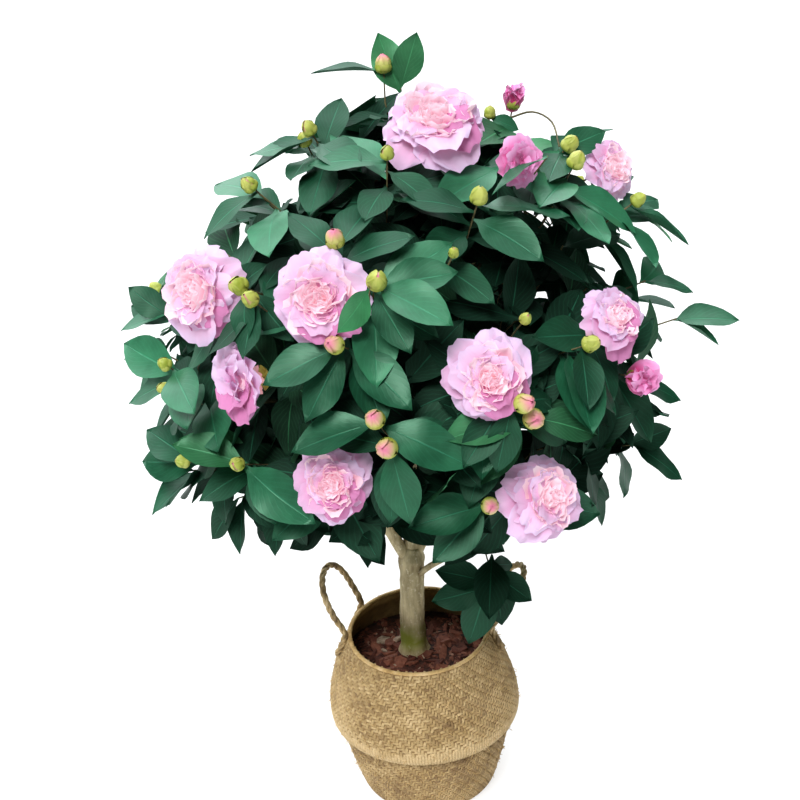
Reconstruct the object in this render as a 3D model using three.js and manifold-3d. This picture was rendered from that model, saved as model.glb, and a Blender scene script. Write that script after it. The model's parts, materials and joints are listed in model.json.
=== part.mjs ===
// A camellia shrub in flower, grown as a small standard, standing in a seagrass belly basket.
// Millimetres, +Z up, the basket's underside on z = 0, the front of the plant towards -Y.
import * as THREE from "three";
import { mergeVertices } from "three/addons/utils/BufferGeometryUtils.js";
import Module from "manifold-3d";

const wasm = await Module();
wasm.setup();

// ---- Sizes ---------------------------------------------------------------------------------

const GAP = 0.3;
const FINE = 0.8; // detail smaller than this is smoothed away where twigs and leaves join

// Basket: outside radius and height of each ring; its belly is folded over and sits a little to one side.
const BASKET_WALL = 6;
const BASKET_RIM = 238;
const RIM_DEPTH = 1.11;
const BASKET_LEAN = 2.2;
const BASKET_OUTSIDE = [
  [86, 0], [94, 8], [105, 44], [114, 80], [119.5, 107],
  [126, 110], [130, 119], [130.5, 136], [127, 158], [116, 194], [103, 222], [96.5, BASKET_RIM],
];
const BASKET_SIDES = 26;

// Rope handles: bearing on the rim, half the span, how much wider the loop is, lean outwards, rise.
const ROPE = 9;
const HANDLES = [
  { name: "handle_left", bearing: 162, half: 36, belly: 0.36, lean: 25, rise: 80 },
  { name: "handle_right", bearing: 9, half: 30, belly: 0.2, lean: 40, rise: 84 },
];
const HANDLE_TAIL = 30;

// Soil and trunk
const SOIL_TOP = 200;
const TRUNK_RINGS = [
  // height, x, y, radius
  [SOIL_TOP + GAP, -7, 10, 22], [206, -7, 10, 19], [216, -7, 10, 17.6], [246, -7, 10, 16.8],
  [285, -5, 10, 16.2], [322, -3, 10, 16.6], [344, -2, 10, 18], [354, -1, 10, 15],
];

// Limbs: parent, how far along it they start, the points they pass, first and last radius.
const LIMBS = [
  { name: "leader", from: "trunk", at: 0.86, radii: [11.5, 6], sides: 8,
    by: [[1, 12, 400], [5, 12, 480], [11, 16, 580], [13, 8, 690], [7, 0, 790]] },
  { name: "main_left", from: "trunk", at: 0.86, radii: [8.6, 5.6], sides: 7,
    by: [[-29, 2, 396], [-59, -8, 470], [-93, -16, 548], [-121, -18, 612]] },
  { name: "main_right", from: "trunk", at: 0.88, radii: [8, 5.4], sides: 7,
    by: [[27, 10, 398], [61, 0, 474], [97, -12, 548], [125, -18, 612]] },
  { name: "main_front", from: "leader", at: 0.1, radii: [7.4, 5], sides: 7,
    by: [[7, -30, 440], [13, -72, 520], [17, -112, 606]] },
  { name: "main_back", from: "leader", at: 0.12, radii: [7.4, 5], sides: 7,
    by: [[5, 50, 440], [3, 86, 520], [3, 118, 606]] },
  { name: "low_twig", from: "trunk", at: 0.72, radii: [4.6, 3], sides: 6,
    by: [[27, -18, 350], [61, -44, 378], [91, -64, 394]] },
];

// Crown: the smooth outline that the shoots fill.
const CROWN = { x: 11, y: 0, z: 660, radius: 338, rise: 320, drop: 255, depth: 0.96 };
const TIP_SHARE = 0.82;

// Masses: bearing, reach from the axis and height of the middle of each, its limb and where it leaves it.
const MASSES = [
  { name: "top", bearing: -50, reach: 90, height: 930, from: "leader", at: 1 },
  { name: "upper_right", bearing: -5, reach: 240, height: 850, from: "leader", at: 0.84 },
  { name: "upper_left", bearing: -132, reach: 290, height: 775, from: "leader", at: 0.66 },
  { name: "upper_front", bearing: -103, reach: 270, height: 815, from: "leader", at: 0.75 },
  { name: "upper_back", bearing: 45, reach: 270, height: 790, from: "leader", at: 0.7 },
  { name: "far_back", bearing: 150, reach: 260, height: 810, from: "leader", at: 0.79 },
  { name: "front", bearing: -74, reach: 305, height: 735, from: "main_front", at: 0.97 },
  { name: "front_right", bearing: -42, reach: 318, height: 720, from: "main_right", at: 0.82 },
  { name: "right", bearing: -6, reach: 315, height: 640, from: "main_right", at: 0.97 },
  { name: "front_left", bearing: -108, reach: 305, height: 620, from: "main_front", at: 0.8 },
  { name: "low_front", bearing: -62, reach: 298, height: 570, from: "main_front", at: 0.62 },
  { name: "left", bearing: 180, reach: 300, height: 660, from: "main_left", at: 0.97 },
  { name: "low_left", bearing: -150, reach: 285, height: 545, from: "main_left", at: 0.74 },
  { name: "back", bearing: 100, reach: 290, height: 720, from: "main_back", at: 0.97 },
  { name: "low_back_right", bearing: 50, reach: 290, height: 580, from: "main_back", at: 0.62 },
  { name: "low_back_left", bearing: 120, reach: 290, height: 570, from: "main_back", at: 0.76 },
];
const SEED_SHARE = 0.7;
const HANGING = { name: "hanging", from: "low_twig", at: 1, middle: [87, -92, 335] };
const BOUGH = { thick: 4.8, thin: 3.4, sides: 5, gate: 0.46, lift: 0.1 };

// Blossom: bearing, reach, height, diameter, then the bearing and lift it faces.
const BLOOMS = [
  [-60, 114, 952, 113, -88, 40], [-46, 194, 912, 58, -62, 14], [21, 160, 938, 34, 10, 78],
  [-8, 250, 868, 76, 28, 30], [-136, 284, 812, 98, -148, 22], [-105, 276, 819, 106, -98, 26],
  [-123, 311, 734, 82, -168, 18], [-107, 309, 626, 90, -100, 18], [-75, 311, 739, 96, -84, 24],
  [-63, 301, 575, 100, -58, 20], [-45, 319, 756, 86, -38, 30], [-38, 331, 681, 44, -18, 18],
  [22, 300, 700, 90, 22, 20], [62, 275, 800, 100, 62, 28], [94, 300, 655, 92, 94, 18],
  [128, 272, 815, 96, 128, 28], [150, 300, 700, 88, 150, 20], [84, 292, 560, 86, 84, 14],
  [163, 300, 600, 80, 163, 16],
];

// Buds: bearing, reach, height and length.
const BUDS = [
  [-135, 124, 948, 21], [-89, 148, 936, 19], [-137, 196, 912, 22], [-104, 240, 874, 25],
  [-94, 270, 838, 27], [-126, 282, 833, 25], [-120, 288, 806, 22], [-104, 298, 778, 25],
  [-95, 316, 710, 26], [-91, 322, 678, 28], [-65, 215, 898, 24], [-24, 227, 897, 25],
  [-14, 213, 912, 24], [-12, 288, 838, 21], [-52, 324, 740, 23], [-60, 325, 700, 26],
  [-66, 330, 678, 28], [-77, 303, 577, 24], [-147, 309, 600, 20], [-124, 318, 630, 20],
  [-146, 318, 722, 19], [30, 262, 800, 24], [78, 284, 748, 25], [112, 290, 740, 24],
  [168, 300, 750, 22], [140, 302, 610, 23], [55, 306, 640, 24], [104, 240, 868, 23],
];

// Single shoots that stand out of the round outline: end of the stem, then the tips of its leaves.
const SPRIGS = [
  { end: [7, 30, 985], bud: 25, leaves: [[-76, 30, 997]] },
  { end: [25, 30, 964], face: [0, -1, 0.4], leaves: [[49, 30, 1026], [1, 36, 1027]] },
  { end: [11, -16, 944], leaves: [[-55, -20, 934], [-7, -60, 960]] },
  { end: [-95, -70, 938], bud: 20, leaves: [[-147, -80, 933], [-41, -92, 926], [-101, -128, 916]] },
  { end: [-267, -60, 740], leaves: [[-325, -60, 728], [-313, -44, 770], [-315, -20, 742]] },
  { end: [-283, -50, 690], leaves: [[-327, -52, 686], [-319, -64, 640], [-315, 0, 676]] },
  { end: [-253, -112, 560], leaves: [[-310, -110, 570], [-309, -128, 516], [-285, -170, 556]] },
  { end: [-197, -164, 546], leaves: [[-239, -162, 492], [-204, -186, 484], [-147, -190, 500]] },
  { end: [-147, -174, 540], leaves: [[-162, -196, 484], [-131, -186, 482], [-97, -188, 512]] },
  { end: [333, -56, 686], leaves: [[382, -70, 656], [410, -50, 684]] },
  { end: [235, 40, 884], leaves: [[273, 40, 899], [265, 64, 850]] },
  { end: [295, -20, 806], leaves: [[340, -20, 776], [321, 30, 800]] },
  { end: [295, -60, 738], leaves: [[354, -60, 727], [333, 0, 742]] },
  { end: [271, -110, 550], leaves: [[334, -120, 512], [323, -92, 560], [261, -160, 508]] },
  { end: [217, -120, 512], leaves: [[236, -132, 456], [255, -84, 470], [183, -168, 476]] },
];
const HANGING_LEAVES = [
  [19, -92, 336], [27, -78, 378], [65, -106, 276], [146, -96, 331],
  [131, -50, 362], [111, -96, 296], [87, -140, 340],
];

// Foliage
const FILLERS = 56;
const INNER = 5;
const INNER_SHARE = 0.6;
const SHOOT = 74;
const FILLER_LEAVES = 4;
const LEAF = { length: 78, width: 0.5, scale: 1.4, thick: 2.15, fold: 3.4 };
const GOLDEN = 2.399963;
const TWIG = 2.4;
const MARGIN = 0.7;

// ---- Small helpers -------------------------------------------------------------------------

const point = (x, y, z) => new THREE.Vector3(x, y, z);
const UP = point(0, 0, 1);
const radians = THREE.MathUtils.degToRad;
const mix = (a, b, t) => a.clone().lerp(b, t);

function around(bearing, reach, height) {
  const a = radians(bearing);
  return point(CROWN.x + reach * Math.cos(a), CROWN.y + reach * Math.sin(a), height);
}

function facing(bearing, lift) {
  const a = radians(bearing);
  const b = radians(lift);
  return point(Math.cos(a) * Math.cos(b), Math.sin(a) * Math.cos(b), Math.sin(b));
}

// Seeded random numbers, the same on every run.
function seeded(seed) {
  let a = seed;
  return () => {
    a = (a + 0x6d2b79f5) | 0;
    let t = Math.imul(a ^ (a >>> 15), 1 | a);
    t = (t + Math.imul(t ^ (t >>> 7), 61 | t)) ^ t;
    return ((t ^ (t >>> 14)) >>> 0) / 4294967296;
  };
}

function solid(points, faces) {
  const flat = new Float32Array(points.flatMap((p) => [p.x, p.y, p.z]));
  return new wasm.Manifold(
    new wasm.Mesh({ numProp: 3, vertProperties: flat, triVerts: new Uint32Array(faces.flat()) }),
  );
}

// A closed body through rings of equal count. A ring of one point is a pole.
function ringed(rings) {
  const points = [];
  const first = rings.map((ring) => {
    points.push(...ring);
    return points.length - ring.length;
  });
  const faces = [];
  const n = Math.max(...rings.map((ring) => ring.length));
  for (let i = 0; i + 1 < rings.length; i++) {
    const low = (j) => first[i] + (j % rings[i].length);
    const high = (j) => first[i + 1] + (j % rings[i + 1].length);
    for (let j = 0; j < n; j++) {
      if (rings[i].length > 1) faces.push([low(j), low(j + 1), high(j + 1)]);
      if (rings[i + 1].length > 1) faces.push([low(j), high(j + 1), high(j)]);
    }
  }
  const last = rings.length - 1;
  for (let j = 1; j + 1 < n; j++) {
    if (rings[0].length > 1) faces.push([first[0], first[0] + j + 1, first[0] + j]);
    if (rings[last].length > 1) faces.push([first[last], first[last] + j, first[last] + j + 1]);
  }
  return solid(points, faces);
}

// A limb of round section along a path, its ends cut flat.
function tube(path, radii, sides) {
  let side = null;
  const rings = path.map((p, i) => {
    const ahead = path[Math.min(i + 1, path.length - 1)].clone().sub(p).normalize();
    const behind = p.clone().sub(path[Math.max(i - 1, 0)]).normalize();
    const along = ahead.add(behind).normalize();
    if (!side) side = Math.abs(along.z) < 0.9 ? UP.clone() : point(1, 0, 0);
    side = side.clone().addScaledVector(along, -side.dot(along)).normalize();
    const other = along.clone().cross(side);
    return Array.from({ length: sides }, (_, j) => {
      const a = (2 * Math.PI * j) / sides;
      return p
        .clone()
        .addScaledVector(side, radii[i] * Math.cos(a))
        .addScaledVector(other, radii[i] * Math.sin(a));
    });
  });
  return ringed(rings);
}

// The largest piece of a body, with anything sealed inside it filled.
function whole(body) {
  const pieces = body.decompose();
  return pieces.reduce((a, b) => (b.volume() > a.volume() ? b : a));
}

function boxesMeet(a, b, spare = 0) {
  return [0, 1, 2].every((k) => a.min[k] - spare <= b.max[k] && b.min[k] - spare <= a.max[k]);
}

const group = new THREE.Group();

function addNode(name, body, colour, roughness) {
  const mesh = body.getMesh();
  const n = mesh.numProp;
  const flat = new Float32Array(mesh.numVert * 3);
  for (let i = 0; i < mesh.numVert; i++) {
    flat.set(mesh.vertProperties.subarray(i * n, i * n + 3), i * 3);
  }
  const geometry = new THREE.BufferGeometry();
  geometry.setAttribute("position", new THREE.BufferAttribute(flat, 3));
  geometry.setIndex(new THREE.BufferAttribute(new Uint32Array(mesh.triVerts), 1));
  const node = new THREE.Mesh(
    mergeVertices(geometry, 1e-4),
    new THREE.MeshStandardMaterial({ color: colour, roughness, metalness: 0 }),
  );
  node.name = name;
  group.add(node);
}

// ---- Basket, soil and handles --------------------------------------------------------------

// Radius at a height, read off a profile of radius and height.
function radiusAt(profile, z) {
  const i = Math.max(1, profile.findIndex((p) => p[1] >= z));
  const [r0, z0] = profile[i - 1];
  const [r1, z1] = profile[i];
  return r0 + ((r1 - r0) * (z - z0)) / (z1 - z0);
}

// The rim is pulled a little oval: deeper from front to back than it is wide.
const depthAt = (z) => 1 + (RIM_DEPTH - 1) * THREE.MathUtils.smoothstep(z, 140, BASKET_RIM);
const leanAt = (z) => BASKET_LEAN * (1 - THREE.MathUtils.smoothstep(z, 110, 195));

function turned(profile, sides) {
  const rings = profile.map(([r, z]) =>
    r === 0
      ? [point(leanAt(z), 0, z)]
      : Array.from({ length: sides }, (_, j) => {
          const a = (2 * Math.PI * j) / sides;
          return point(leanAt(z) + r * Math.cos(a), r * depthAt(z) * Math.sin(a), z);
        }),
  );
  return ringed(rings);
}

const insideHeights = [BASKET_RIM - 2, 222, 194, 158, 119, 80, BASKET_WALL];
const insideOf = (z, less) => [radiusAt(BASKET_OUTSIDE, z) - BASKET_WALL - less, z];
const basketInside = insideHeights.map((z) => insideOf(z, 0));
const lip = [BASKET_OUTSIDE.at(-1)[0] - BASKET_WALL / 2, BASKET_RIM + 1.5];
addNode(
  "basket",
  turned([[0, 0], ...BASKET_OUTSIDE, lip, ...basketInside, [0, BASKET_WALL]], BASKET_SIDES),
  0xc2a064,
  0.85,
);

const soilEdge = [BASKET_WALL + GAP, 80, 119, 158, SOIL_TOP - 7].map((z) => insideOf(z, 0.6));
const soilFace = [[76, SOIL_TOP - 2], [50, SOIL_TOP], [0, SOIL_TOP]];
const soilProfile = [[0, BASKET_WALL + GAP], ...soilEdge, ...soilFace];
addNode("soil", turned(soilProfile, BASKET_SIDES), 0x5a3325, 0.95);

// The rope starts low on the outside of the wall, passes the rim and loops over.
function handlePath({ bearing, half, belly, lean, rise }) {
  const a = radians(bearing);
  const out = point(Math.cos(a), Math.sin(a), 0);
  const b = radians(lean);
  const over = UP.clone().multiplyScalar(Math.cos(b)).addScaledVector(out, Math.sin(b));
  const standing = (sign, z) => {
    const wall = radiusAt(BASKET_OUTSIDE, Math.min(z, BASKET_RIM)) + ROPE / 2 - 1;
    const turn = sign * Math.asin(half / wall);
    const x = wall * Math.cos(a + turn);
    const y = wall * Math.sin(a + turn) * depthAt(Math.min(z, BASKET_RIM));
    return point(x, y, z);
  };
  const feet = [standing(-1, BASKET_RIM + 6), standing(1, BASKET_RIM + 6)];
  const middle = mix(feet[0], feet[1], 0.5);
  const across = feet[1].clone().sub(feet[0]).multiplyScalar(0.5);
  const loop = [];
  const steps = 11;
  for (let i = 1; i < steps; i++) {
    const t = (Math.PI * i) / steps;
    loop.push(
      middle
        .clone()
        .addScaledVector(across, -Math.cos(t) * (1 + belly * Math.sin(t)))
        .addScaledVector(over, rise * Math.sin(t) ** 0.85),
    );
  }
  const low = BASKET_RIM - HANDLE_TAIL;
  return [
    standing(-1, low), standing(-1, BASKET_RIM - 12), feet[0], ...loop,
    feet[1], standing(1, BASKET_RIM - 12), standing(1, low),
  ];
}

// The rope is pressed flat against the wall where it lies on it.
const pressed = turned(
  [[0, -GAP], ...BASKET_OUTSIDE.map(([r, z]) => [r + GAP, z]), [lip[0] + GAP, lip[1] + GAP], [0, lip[1] + GAP]],
  BASKET_SIDES,
);
for (const handle of HANDLES) {
  const path = handlePath(handle);
  const rope = tube(path, path.map(() => ROPE / 2), 7).subtract(pressed);
  addNode(handle.name, whole(rope), 0xa98a55, 0.9);
}

// ---- Trunk and limbs -----------------------------------------------------------------------

const limbs = new Map();
const placed = [];

// Keeps a limb, cut back 0.3 mm from every limb before it.
function addLimb(name, path, radii, sides) {
  let body = tube(path, radii, sides);
  for (const other of placed) {
    if (boxesMeet(body.boundingBox(), other.clear.boundingBox())) body = body.subtract(other.clear);
  }
  body = whole(body);
  const clear = tube(path, radii.map((r) => (r + 0.36) / Math.cos(Math.PI / sides) ** 0.5), sides);
  placed.push({ name, clear });
  limbs.set(name, { path, radii });
  addNode(name, body, 0x8f8268, 0.9);
}

function alongLimb(name, share) {
  const { path } = limbs.get(name);
  const lengths = path.slice(1).map((p, i) => p.distanceTo(path[i]));
  let left = share * lengths.reduce((a, b) => a + b, 0);
  let i = 0;
  while (i < lengths.length - 1 && left > lengths[i]) {
    left -= lengths[i];
    i += 1;
  }
  return mix(path[i], path[i + 1], Math.min(1, left / lengths[i]));
}

const taper = (count, from, to) =>
  Array.from({ length: count }, (_, i) => from + ((to - from) * i) / (count - 1));

addLimb(
  "trunk",
  TRUNK_RINGS.map(([z, x, y]) => point(x, y, z)),
  TRUNK_RINGS.map((ring) => ring[3]),
  12,
);
for (const limb of LIMBS) {
  const path = [alongLimb(limb.from, limb.at), ...limb.by.map((p) => point(...p))];
  addLimb(limb.name, path, taper(path.length, ...limb.radii), limb.sides);
}

// ---- Masses of leaves: a space each, a bough to each ----------------------------------------

const heart = point(CROWN.x, CROWN.y, CROWN.z);
const masses = MASSES.map((mass) => {
  const middle = around(mass.bearing, mass.reach, mass.height);
  return { ...mass, middle, seed: mix(heart, middle, SEED_SHARE) };
});
const hangingMiddle = point(...HANGING.middle);
masses.push({ ...HANGING, middle: hangingMiddle, seed: hangingMiddle });

for (const mass of masses) {
  const start = alongLimb(mass.from, mass.at);
  if (mass.name === "hanging") {
    const { path } = limbs.get(mass.from);
    mass.gate = path.at(-1);
    mass.way = path.at(-1).clone().sub(path.at(-2)).normalize();
    mass.gateRadius = 3;
    continue;
  }
  const end = mix(start, mass.middle, BOUGH.gate);
  const bend = mix(start, end, 0.5).addScaledVector(UP, -BOUGH.lift * start.distanceTo(end));
  addLimb("bough_" + mass.name, [start, bend, end], taper(3, BOUGH.thick, BOUGH.thin), BOUGH.sides);
  mass.gate = end;
  mass.way = end.clone().sub(bend).normalize();
  mass.gateRadius = BOUGH.thin;
}

// How far a point lies outside the space of a mass: below zero is inside.
function outside(mass, p) {
  let most = -Infinity;
  for (const other of masses) {
    if (other === mass) continue;
    const across = other.seed.clone().sub(mass.seed).normalize();
    const wall = mix(mass.seed, other.seed, 0.5);
    most = Math.max(most, p.clone().sub(wall).dot(across));
  }
  return most;
}

// A point moved towards the middle of its mass until it has some room there.
function drawnInside(mass, p, room) {
  let moved = p;
  for (let t = 0.05; outside(mass, moved) > -room && t < 1; t += 0.05) moved = mix(p, mass.seed, t);
  return moved;
}

const nearestMass = (p) =>
  masses.reduce((a, b) => (b.seed.distanceTo(p) < a.seed.distanceTo(p) ? b : a));

// Radius of the crown's smooth outline, u from -1 at its foot to 1 at its top.
function crownRadius(u) {
  const level = u > 0 ? 1 - u ** 1.55 : 1 - (-u) ** 2.6;
  return CROWN.radius * Math.max(0, level) ** (u > 0 ? 0.72 : 0.6);
}

function inCrown(p) {
  const u = (p.z - CROWN.z) / (p.z > CROWN.z ? CROWN.rise : CROWN.drop);
  return Math.hypot(p.x - CROWN.x, (p.y - CROWN.y) / CROWN.depth) < crownRadius(u) + 4;
}

// ---- Shoots --------------------------------------------------------------------------------

const random = seeded(41);
const shoots = [];

// Outward from the crown's heart, lifted a little to the light.
function outward(p, lift) {
  const way = point(p.x - CROWN.x, p.y - CROWN.y, (p.z - CROWN.z + 60) * 0.8);
  return way.normalize().addScaledVector(UP, lift).normalize();
}

function addShoot(shoot) {
  const turn = random() * 2 * Math.PI;
  const sway = point(random() - 0.5, random() - 0.5, random() - 0.5);
  const aim = (shoot.aim ?? outward(shoot.tip, 0.35)).clone().addScaledVector(sway, 0.5).normalize();
  const draws = Array.from({ length: 8 }, () => [random(), random(), random(), random()]);
  shoots.push({ length: SHOOT, count: FILLER_LEAVES, ...shoot, aim, turn, draws });
}

for (const [bearing, reach, height, wide, faceBearing, faceLift] of BLOOMS) {
  const face = facing(faceBearing, faceLift);
  const centre = around(bearing, reach, height);
  const tip = centre.clone().addScaledVector(face, -0.2 * wide);
  addShoot({ kind: "bloom", tip, centre, face, wide, count: 3, aim: face.clone().addScaledVector(UP, 0.3) });
}
for (const [bearing, reach, height, long] of BUDS) {
  addShoot({ kind: "bud", tip: around(bearing, reach, height), long, count: 4 });
}
for (const sprig of SPRIGS) {
  addShoot({
    kind: "sprig", tip: point(...sprig.end), long: sprig.bud, tips: sprig.leaves.map((p) => point(...p)),
    length: 50, show: sprig.face && point(...sprig.face),
  });
}
addShoot({
  kind: "hanging", tip: point(91, -88, 352), tips: HANGING_LEAVES.map((p) => point(...p)), length: 24,
  show: point(0.1, -0.8, 0.6),
  aim: point(0, -0.6, -0.8),
});

// Fillers wind round the crown by the golden angle, one layer on the outline and one inside it.
function addFillers(count, share, first) {
  for (let k = 0; k < count; k++) {
    const u = 1 - (2 * (k + 0.5)) / count;
    const reach = share * (0.93 + 0.1 * random()) * crownRadius(u);
    const a = first + k * GOLDEN;
    const tip = point(
      CROWN.x + reach * Math.cos(a),
      CROWN.y + reach * CROWN.depth * Math.sin(a),
      CROWN.z + share * u * (u > 0 ? CROWN.rise : CROWN.drop),
    );
    addShoot({ kind: "filler", tip });
  }
}
addFillers(FILLERS, TIP_SHARE, 0.4);
addFillers(INNER, INNER_SHARE, 1.9);

// A filler gives way to a bloom, bud or sprig that is already there, and to the hanging sprig's space.
function crowded(shoot, index) {
  if (shoot.kind !== "filler") return false;
  if (nearestMass(shoot.tip).name === "hanging") return true;
  return shoots.slice(0, index).some((other) => {
    if (other.kind === "filler") return false;
    const room = other.kind === "bloom" ? 16 + 0.45 * other.wide : 34;
    return (other.centre ?? other.tip).distanceTo(shoot.tip) < room;
  });
}
const kept = shoots.filter((shoot, index) => !crowded(shoot, index));
for (const shoot of kept) {
  shoot.mass = nearestMass(shoot.tip);
  shoot.tip = drawnInside(shoot.mass, shoot.tip, 4);
  shoot.base = drawnInside(shoot.mass, shoot.tip.clone().addScaledVector(shoot.aim, -shoot.length), 6);
}

// ---- Leaves, blossom and buds as solids -----------------------------------------------------

// A leaf of six faces: a folded blade whose deep root is sunk in its twig.
function leafSolid(root, tip, face, width) {
  const along = tip.clone().sub(root);
  const left = face.clone().cross(along).normalize();
  const top = along.clone().cross(left).normalize();
  const middle = mix(root, tip, 0.42);
  const corners = [
    root.clone().addScaledVector(top, LEAF.thick / 2),
    root.clone().addScaledVector(top, -LEAF.thick / 2),
    middle.clone().addScaledVector(left, width / 2).addScaledVector(top, LEAF.fold),
    middle.clone().addScaledVector(left, -width / 2).addScaledVector(top, LEAF.fold),
    tip,
  ];
  return solid(corners, [[0, 4, 2], [0, 3, 4], [1, 2, 4], [1, 4, 3], [0, 2, 1], [0, 1, 3]]);
}

function acrossOf(way) {
  const side = Math.abs(way.z) < 0.9 ? UP.clone() : point(1, 0, 0);
  side.addScaledVector(way, -side.dot(way)).normalize();
  return [side, way.clone().cross(side)];
}

// Rings about an axis: how far along, how wide, and how deep the scallops are.
function flowered(centre, way, rings, sides) {
  const [side, other] = acrossOf(way);
  return ringed(
    rings.map(([along, wide, scallop]) => {
      const middle = centre.clone().addScaledVector(way, along);
      if (wide === 0) return [middle];
      return Array.from({ length: sides }, (_, j) => {
        const a = (2 * Math.PI * j) / sides;
        const r = wide * (j % 2 ? 1 - scallop : 1);
        return middle
          .clone()
          .addScaledVector(side, r * Math.cos(a))
          .addScaledVector(other, r * Math.sin(a));
      });
    }),
  );
}

function bloomSolid({ centre, face, wide }) {
  const rings = [
    [-0.29, 0, 0], [-0.17, 0.3, 0], [0, 0.5, 0.1], [0.11, 0.36, 0.06], [0.2, 0, 0],
  ];
  return flowered(centre, face, rings.map(([a, w, s]) => [a * wide, w * wide, s]), 12);
}

function budSolid(tip, way, long) {
  const rings = [[-0.15, 0, 0], [0.25, 0.42, 0], [0.62, 0.38, 0], [1, 0, 0]];
  return flowered(tip, way, rings.map(([a, w, s]) => [a * long, w * long, s]), 5);
}

// ---- Twigs: each shoot joins the nearest twig that already grows in its mass ------------------

const clearOfLimbs = (p, room) =>
  [...limbs.values()].every(({ path, radii }) =>
    path.slice(1).every((b, i) => {
      const line = new THREE.Line3(path[i], b);
      const near = line.closestPointToPoint(p, true, point(0, 0, 0));
      return near.distanceTo(p) > radii[i] + room;
    }),
  );

const freeWay = (a, b) =>
  [0.15, 0.3, 0.45, 0.6, 0.75, 0.9, 1].every((t) => clearOfLimbs(mix(a, b, t), TWIG + 1));

function growTwigs(mass, shootsHere) {
  const start = mass.gate.clone().addScaledVector(mass.way, GAP);
  const hub = mass.name === "hanging" ? shootsHere[0].base : mix(start, mass.middle, 0.36);
  const knots = [
    { p: start, parent: -1, load: 0 },
    { p: hub, parent: 0, load: 0 },
  ];
  const order = [...shootsHere].sort((a, b) => a.base.distanceTo(start) - b.base.distanceTo(start));
  for (const shoot of order) {
    let from = 1;
    let least = Infinity;
    for (let i = 1; i < knots.length; i++) {
      if (knots[i].end) continue;
      const cost = knots[i].p.distanceTo(shoot.base) + 0.35 * knots[i].p.distanceTo(start) +
        (freeWay(knots[i].p, shoot.base) ? 0 : 500);
      if (cost < least) {
        least = cost;
        from = i;
      }
    }
    const span = knots[from].p.distanceTo(shoot.base);
    const bend = shoot.base.clone().addScaledVector(shoot.aim, -0.35 * span);
    const middle = mix(mix(knots[from].p, bend, 0.5), mix(bend, shoot.base, 0.5), 0.5);
    let parent = from;
    if (span > 60) {
      knots.push({ p: middle, parent, load: 0 });
      parent = knots.length - 1;
    }
    knots.push({ p: shoot.base, parent, load: 0 });
    knots.push({ p: shoot.tip, parent: knots.length - 1, load: 0, end: shoot });
    for (let i = knots.length - 1; i >= 0; i = knots[i].parent) knots[i].load += 1;
    shoot.from = from;
  }
  return knots;
}

const thickness = (load, most) => Math.min(most, TWIG * load ** 0.36);

function twigSolids(knots, most) {
  const solids = [];
  for (const tipKnot of knots.filter((k) => k.end)) {
    const chain = [];
    let i = knots.indexOf(tipKnot);
    while (i >= 0) {
      chain.unshift(knots[i].p);
      if (knots[i].drawn) break;
      knots[i].drawn = true;
      i = knots[i].parent;
    }
    const loads = chain.map((p) => thickness(knots.find((k) => k.p === p).load, most));
    if (chain[0] !== knots[0].p) loads[0] = 0.5 * loads[1];
    solids.push(tube(chain, loads, 3));
  }
  return solids;
}

// ---- Leaves on their shoots ------------------------------------------------------------------

function leafPlaces(shoot, wide) {
  if (shoot.tips) {
    return shoot.tips.map((tip, i) => {
      const root = mix(shoot.tip, shoot.base, (i * 7) / shoot.length);
      const face = shoot.show ?? outward(shoot.tip, 0.5);
      return [{ root, tip, face, width: Math.min(42, tip.distanceTo(root) * 0.5) * wide }];
    });
  }
  const [side, other] = acrossOf(shoot.aim);
  const firstLeaf = { bloom: 0.3, bud: 0.2, filler: 0.04 }[shoot.kind];
  return Array.from({ length: shoot.count }, (_, i) => {
    const [r1, r2, r3, r4] = shoot.draws[i];
    const share = firstLeaf + (0.9 - firstLeaf) * (i / shoot.count);
    const root = mix(shoot.tip, shoot.base, share);
    const length = LEAF.length * (0.82 + 0.3 * r1) * wide;
    return LEAF_TRIES.map(([shift, wider, shrink]) => {
      const a = shoot.turn + i * GOLDEN + shift + 0.4 * (r2 - 0.5);
      const open = radians((shoot.kind === "bloom" ? 60 : 46) + 24 * share + 14 * r3 + wider);
      const round = side.clone().multiplyScalar(Math.cos(a)).addScaledVector(other, Math.sin(a));
      const way = shoot.aim
        .clone()
        .multiplyScalar(Math.cos(open))
        .addScaledVector(round, Math.sin(open))
        .addScaledVector(UP, -0.1 - 0.25 * r4)
        .normalize();
      const face = outward(root, 0.75).addScaledVector(shoot.aim, 0.3);
      return {
        root, tip: root.clone().addScaledVector(way, length * shrink), face,
        width: length * shrink * LEAF.width,
      };
    });
  });
}

// Where a leaf has no room it turns about its stem, then opens wider, and then is tried smaller.
const LEAF_TRIES = [[0, 1], [24, 1], [46, 0.92], [10, 0.8], [60, 0.72]].flatMap(([wider, shrink]) =>
  [0, 0.5, -0.5, 1, -1, 1.5, -1.5, 2.1, -2.1, 2.8].map((shift) => [shift, wider, shrink]),
);

// True inside a bloom, a flattened ball about its centre.
function inBlooms(p) {
  return blooms.some(({ centre, face, wide }) => {
    const from = p.clone().sub(centre);
    const along = from.dot(face);
    const across = from.addScaledVector(face, -along).length();
    return (along / 0.31) ** 2 + (across / 0.5) ** 2 < wide ** 2;
  });
}

const blooms = kept.filter((shoot) => shoot.kind === "bloom");

function leafFits(mass, { root, tip, face, width }) {
  const left = face.clone().cross(tip.clone().sub(root)).normalize();
  const middle = mix(root, tip, 0.42);
  const corners = [root, tip, middle.clone().addScaledVector(left, width / 2),
    middle.clone().addScaledVector(left, -width / 2)];
  if (corners.some((p) => outside(mass, p) > -MARGIN - 2)) return false;
  if (!inCrown(tip)) return false;
  if ([0.3, 0.55, 0.8, 1].some((t) => inBlooms(mix(root, tip, t)))) return false;
  if (corners.slice(2).some(inBlooms)) return false;
  return [0.25, 0.6, 0.95].every((t) => clearOfLimbs(mix(root, tip, t), 5));
}

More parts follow.
